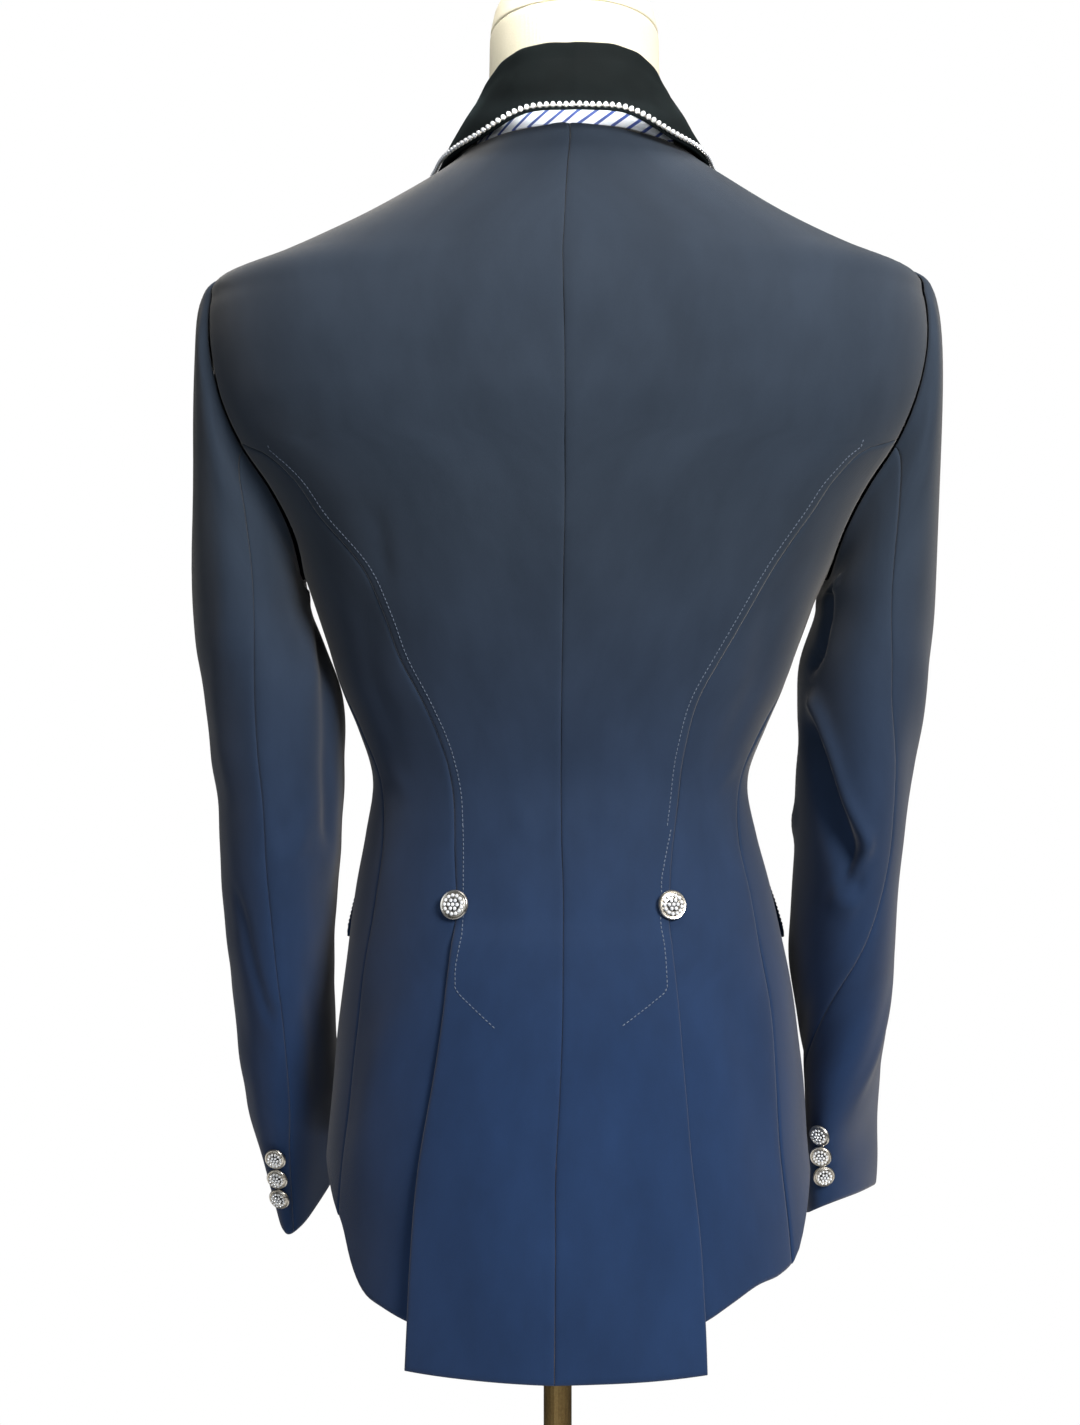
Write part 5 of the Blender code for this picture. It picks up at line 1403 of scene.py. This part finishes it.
buttonPieces = makeButtons()
print("coat: buttons", len(buttonPieces))


# Stitching, laid on the finished cloth

stitchLook = {
    "pitch": 0.0026, "length": 0.00088, "width": 0.00030, "high": 0.00028,
    "ahead": 0.0004, "above": 0.002, "search": 0.012, "beside": 0.005, "step": 0.004,
}
stitch = stitchModel()


def surfaceOf(*things):
    points = []
    faces = []
    for thing in things:
        offset = len(points)
        points += [v.co.copy() for v in thing.data.vertices]
        faces += [[corner + offset for corner in face.vertices] for face in thing.data.polygons]
    return BVHTree.FromPolygons(points, faces)


def stitchRow(line, normals, surface, look):
    # Evenly spaced stitches along a line near the cloth, each laid on the cloth's own face.
    lengths = runOf(line)
    rng = np.random.default_rng(int(lengths[-1] * 1e5) % 1000)
    found = []
    for at in np.arange(look["pitch"] / 2, lengths[-1], look["pitch"]):
        centre = valueAt(at, lengths, line)
        ahead = valueAt(at + stitchLook["ahead"], lengths, line)
        out = unit(valueAt(at, lengths, normals))
        hit, face, index, distance = surface.find_nearest(Vector(centre + out * stitchLook["above"]))
        if hit is None or distance > stitchLook["search"] or (np.array(face) @ out) < 0.3:
            continue
        out = unit(np.array(face))
        way = ahead - centre
        way = way - out * (way @ out)
        if np.linalg.norm(way) < 1e-9:
            continue
        way = unit(way + np.cross(out, unit(way)) * np.linalg.norm(way) * rng.uniform(-0.08, 0.08))
        found.append((placed(stitch, np.array(hit) + out * look["high"] * 0.35, (way, np.cross(out, way), out),
                             (look["length"], look["width"], look["high"])), 0))
    return found


def evenPlaces(points, metresEach):
    # Even places along a line of (degrees, metres) pairs.
    points = np.array(points, dtype=float)
    lengths = runOf(points * np.array([metresEach, 1.0]))
    fine = np.linspace(0, lengths[-1], max(12, int(lengths[-1] / stitchLook["step"])))
    return np.interp(fine, lengths, points[:, 0]), np.interp(fine, lengths, points[:, 1])


def bodyLine(points, lift=None):
    turn, height = evenPlaces(points, metresPerDegree)
    turn = np.radians(turn)
    normals = bodyNormal(turn, height)
    away = lift(turn, height) if lift else 0.0 * height
    return settle(bodyPoint(turn, height) + normals * away[:, None]), normals


def sleeveLine(side, points):
    arc, down = evenPlaces(points, metresPerArc)
    share = np.where(arc < 0, -arc / sleeve["topArc"], -arc / sleeve["underArc"])
    along = np.where(down < 0, 1 + down / capLength, 1 + down)
    return settle(sleevePoint(side, share, along)), sleeveNormal(side, share, along)


found = {piece["stands"]: piece for piece in clothPieces}


def makeStitching():
    parts = []
    vents = {
        "left": ((-34.6, -0.0255), (-28.4, -0.0880), (-28.4, -0.1060), (-27.5, -0.1174), (-16.2, -0.1377)),
        "right": ((38.2, -0.0284), (31.3, -0.0561), (28.2, -0.0808), (27.7, -0.0998), (26.9, -0.1171), (14.9, -0.1353)),
    }
    arms = {
        "left": ((-8, -0.095), (-10, -0.019), (-12, 0.047), (-11, 0.088), (-12, 0.104), (-11, 0.156), (-12, 0.338)),
        "right": ((-3, -0.091), (-7, -0.038), (-13, -0.003), (-12, 0.053), (-15, 0.109), (-13, 0.200), (-12, 0.362)),
    }
    for side in ("left", "right"):
        backSurface = surfaceOf(found["back_" + side])
        heights = np.linspace(-0.0270, 0.1935, 90)
        line = seamPoint(side, np.minimum(heights, 0.1885), stitchLook["beside"])
        line[:, 1] = heights
        path, normals = bodyLine(np.stack([np.degrees(line[:, 0]), line[:, 1]], axis=-1))
        parts += stitchRow(path, normals, backSurface, stitchLook)
        parts += stitchRow(*bodyLine(vents[side], flapLift), backSurface, stitchLook)
        armSurface = surfaceOf(found["top_sleeve_" + side], found["under_sleeve_" + side])
        parts += stitchRow(*sleeveLine(side, arms[side]), armSurface, stitchLook)
        frontSurface = surfaceOf(found["front_" + side], found["lapel_" + side], found["pocket_flap_" + side])
        heights = np.linspace(-0.222, 0.100, 80)
        turn = turnAt(centreFrontX(heights) + sign[side] * (closingEdge(heights) + stitchLook["beside"]),
                      heights, side, True)
        parts += stitchRow(*bodyLine(np.stack([np.degrees(turn), heights], axis=-1),
                                     lambda t, h: frontLift(side, t, h)), frontSurface, stitchLook)
        heights = np.linspace(0.135, 0.286, 60)
        turn = turnAt(centreFrontX(heights) + sign[side] * (lapelEdge(heights)[..., 0] - stitchLook["beside"]),
                      heights, side, True)
        parts += stitchRow(*bodyLine(np.stack([np.degrees(turn), heights], axis=-1),
                                     lambda t, h: 0.004 + frontLift(side, t, h)), frontSurface, stitchLook)
        low = pocketLook["bottom"] + 0.004
        flap = ((sign[side] * 99.0, -0.061), (sign[side] * 95.0, low), (sign[side] * 120.0, low + 0.006),
                (sign[side] * 150.5, low + 0.012), (sign[side] * 151.0, -0.050))
        parts += stitchRow(*bodyLine(flap, lambda t, h: 0.004 + frontLift(side, t, h)), frontSurface, stitchLook)
    points, faces, marks = joined(parts)
    return newObject("topstitching", points, faces, None, (thread,), marks)


def makeButtonholes():
    # Worked edges beside the front buttons: two long sides and two bars.
    surface = surfaceOf(found["front_right"])
    hole = {"pitch": 0.00050, "length": 0.00016, "high": 0.0003}
    parts = []
    for height, seat in frontButtons:
        lines = [(((176.4, height + shift), (184.6, height + shift)), 0.00055) for shift in (-0.0007, 0.0007)]
        lines += [(((turn, height - 0.0013), (turn, height + 0.0013)), 0.0004) for turn in (176.3, 184.8)]
        for line, width in lines:
            parts += stitchRow(*bodyLine(line, lambda t, h: frontLift("right", t, h)), surface,
                               {**hole, "width": width})
    points, faces, marks = joined(parts)
    return newObject("buttonholes", points, faces, None, (thread,), marks)


stitchPiece = makeStitching()
holePiece = makeButtonholes()
print("coat: stitches", len(stitchPiece.data.polygons), "faces")


# Dress form and stand

form = {
    "bottom": -0.200, "armPlate": 0.1975, "shoulderEase": 0.0014, "waistEase": 0.0040, "bladeEase": 0.0026,
    "chestEase": 0.0016, "seamHeight": 0.4485, "seamSlope": 0.20, "around": 220, "groove": 0.0007,
}


def formEase(angle, height):
    middle = ramp(0.20, 0.26, height) * (1 - ramp(0.305, 0.33, height))
    middle = middle * np.where(np.cos(angle) > 0, form["bladeEase"], form["chestEase"])
    return form["shoulderEase"] + form["waistEase"] * (1 - ramp(0.16, 0.30, height)) + middle


def formRings(heights):
    angle, height = np.meshgrid(np.linspace(0, 2 * math.pi, form["around"] + 1)[:-1], heights)
    inward = -bodyNormal(angle, height)
    flat = unit(inward * np.array([1.0, 1.0, 0.0]))
    inward = np.where((height < 0)[..., None], flat, inward)
    body = bodyPoint(angle, height) + inward * (coat["cloth"] + formEase(angle, height))[..., None]
    body[..., 0] = np.clip(body[..., 0], -form["armPlate"], form["armPlate"])
    halfWidth, back, front, middle = np.moveaxis(neckSection(height), -1, 0)
    reach = reachOf(angle, halfWidth, np.where(np.cos(angle) > 0, back, front), 2.1)
    neck = np.stack([neckShift + reach * np.sin(angle), middle - reach * np.cos(angle), height], axis=-1)
    rings = np.where((height < neckTable[0][0])[..., None], body, neck)
    centre = np.stack([np.full_like(height, neckShift), 0 * height, height], axis=-1)
    groove = np.zeros_like(angle)
    for seamAngle in (0.045, math.pi, 1.62, -1.55):
        away = np.abs((angle - seamAngle + math.pi) % (2 * math.pi) - math.pi) * 0.05
        groove = np.maximum(groove, np.exp(-((away / 0.0011) ** 2)))
    spoke = unit((centre - rings) * np.array([1.0, 1.0, 0.0]))
    return rings + spoke * (groove * form["groove"])[..., None] * ramp(0.36, 0.38, height)[..., None]


def formUvs(rings):
    around = np.linspace(0, 0.33, rings.shape[1])
    return np.stack([around[None, :] + 0 * rings[..., 0], rings[..., 2]], axis=-1)


def makeForm():
    heights = np.concatenate([np.linspace(form["bottom"], 0.10, 16), np.linspace(0.12, 0.36, 40),
                              np.array([0.363, 0.367, 0.372, 0.378, 0.384, 0.392, 0.400, 0.410])])
    torso = formRings(heights)
    rim = formRings(np.array([form["seamHeight"]]))
    rim[..., 2] = form["seamHeight"] - form["seamSlope"] * rim[..., 1]
    shares = np.array([0.25, 0.5, 0.75, 0.9, 0.96, 1.0])[:, None, None]
    upper = torso[-1:] + (rim - torso[-1:]) * shares
    centre = np.array([neckShift, 0.006, 0.0])
    tuck = np.array([0, 0, 0, 0, 0.0002, 0.0009])[:, None, None]
    upper = upper + unit((centre - upper) * np.array([1.0, 1.0, 0.0])) * tuck
    rings = np.concatenate([torso, upper])
    torsoPiece = outward(sectionSweep("form_torso", settle(rings), formUvs(rings), (linen,)))
    start = rim + np.array([0, 0, 0.0003])
    cap = formRings(np.array([0.463, 0.467, 0.471, 0.475, 0.479, 0.482, 0.485, 0.487, 0.489]))
    lower = start + (cap[:1] - start) * np.array([0.0, 0.05, 0.15, 0.4, 0.7])[:, None, None]
    tuck = np.array([0.0009, 0.0002, 0, 0, 0])[:, None, None]
    lower = lower + unit((centre - lower) * np.array([1.0, 1.0, 0.0])) * tuck
    rings = np.concatenate([lower, cap])
    capPiece = outward(sectionSweep("form_neck_cap", settle(rings), formUvs(rings), (linen,)))
    return torsoPiece, capPiece


torsoPiece, capPiece = makeForm()
for name, finish in (("pole", brass), ("pole_socket", brass), ("base", iron), ("base_ferrule", iron)):
    node = bpy.data.objects[name]
    node.data.materials.clear()
    node.data.materials.append(finish)
print("coat: form and stand")


# What each piece rides on and stands for

def declare(piece, slot, *nodes):
    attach(piece, "root")
    if nodes:
        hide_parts(*nodes)


for piece in clothPieces:
    name = piece["stands"]
    declare(piece, "wool", name)
declare(collarPiece, "velvet", "collar")
declare(bandPiece, "satin", "collar_band")
declare(chainPiece, "crystal", "crystal_chain")
for piece in buttonPieces:
    declare(piece, "buttons", piece["stands"])
declare(stitchPiece, "wool")
declare(holePiece, "wool")
declare(torsoPiece, "linen", "form_torso")
declare(capPiece, "linen", "form_neck_cap")


# Camera, light, floor

studio = {
    "camera": (-0.0133, -1.35, 1.138), "lens": 2228 / 1425 * 36, "sensor": 36,
    "world": (0.86, 0.92, 1.0), "ambient": 0.07, "floor": 1.45,
}
# Lights: place, what they aim at, size, power, colour. The narrow ones light the neck and the striped band.
lights = {
    "key": {"place": (1.30, -1.90, 2.35), "aim": (0.0, 0.0, 1.20), "size": 1.0, "power": 98.0,
            "colour": (1.0, 0.98, 0.95)},
    "fill": {"place": (-0.6, -2.4, 1.3), "aim": (0.0, 0.0, 1.10), "size": 1.4, "power": 15.0,
             "colour": (0.90, 0.95, 1.0)},
    "band": {"place": (0.0075, -0.50, 1.3715), "aim": (0.0075, -0.062, 1.4865), "size": 0.13, "power": 0.011,
             "colour": (1.0, 1.0, 1.0), "high": 0.006, "spread": 2.5},
    "neck": {"place": (-0.75, -0.75, 2.05), "aim": (0.0, -0.02, 1.62), "size": 0.10, "power": 0.13,
             "colour": (1.0, 0.98, 0.92), "spread": 14},
    "top": {"place": (0.2, -0.2, 3.0), "aim": (0.0, 0.0, 1.40), "size": 1.2, "power": 36.0,
            "colour": (1.0, 0.97, 0.92)},
    "front": {"place": (0.4, 2.6, 1.7), "aim": (0.0, 0.0, 1.15), "size": 1.2, "power": 15.0,
              "colour": (1.0, 0.98, 0.96)},
}


def addLight(name, look):
    data = bpy.data.lights.new(name, "AREA")
    data.shape = "RECTANGLE" if "high" in look else "DISK"
    data.size = look["size"]
    data.size_y = look.get("high", look["size"])
    data.energy = look["power"]
    data.color = look["colour"]
    data.spread = math.radians(look.get("spread", 180))
    light = bpy.data.objects.new(name, data)
    light.location = look["place"]
    way = Vector(look["aim"]) - Vector(look["place"])
    light.rotation_euler = way.to_track_quat("-Z", "Y").to_euler()
    scene.collection.objects.link(light)


def addWorld():
    world = bpy.data.worlds.new("paleStudio")
    world.use_nodes = True
    tree = world.node_tree
    pale = tree.nodes["Background"]
    pale.inputs["Color"].default_value = (1.0, 1.0, 1.0, 1.0)
    pale.inputs["Strength"].default_value = 1.0
    soft = addNode(tree, "ShaderNodeBackground", None,
                   {"Color": (*studio["world"], 1.0), "Strength": studio["ambient"]})
    rays = addNode(tree, "ShaderNodeLightPath")
    mixed = addNode(tree, "ShaderNodeMixShader", None, {0: rays.outputs["Is Camera Ray"]})
    tree.links.new(soft.outputs[0], mixed.inputs[1])
    tree.links.new(pale.outputs[0], mixed.inputs[2])
    tree.links.new(mixed.outputs[0], tree.nodes["World Output"].inputs[0])
    scene.world = world


def addFloor():
    bpy.ops.object.select_all(action="DESELECT")
    bpy.ops.mesh.primitive_circle_add(vertices=96, radius=studio["floor"], fill_type="NGON", location=(0, 0, -0.0005))
    floor = bpy.context.active_object
    floor.name = "paleFloor"
    bpy.ops.object.transform_apply(location=True, rotation=True, scale=True)
    floor.data.materials.append(grainFinish("floorPaint", (0.78, 0.78, 0.77), (0.86, 0.86, 0.85), (0.6, 0.8), {},
                                            120.0, 3.0, 0.05, 0.001))


for name, look in lights.items():
    addLight(name + "Light", look)
addWorld()
addFloor()
cameraData = bpy.data.cameras.new("photoCamera")
cameraData.lens = studio["lens"]
cameraData.sensor_width = studio["sensor"]
cameraData.clip_start = 0.05
camera = bpy.data.objects.new("photoCamera", cameraData)
camera.location = studio["camera"]
camera.rotation_euler = (math.pi / 2, 0, 0)
scene.collection.objects.link(camera)
scene.camera = camera
scene.view_settings.view_transform = "Standard"
print("coat: studio ready")
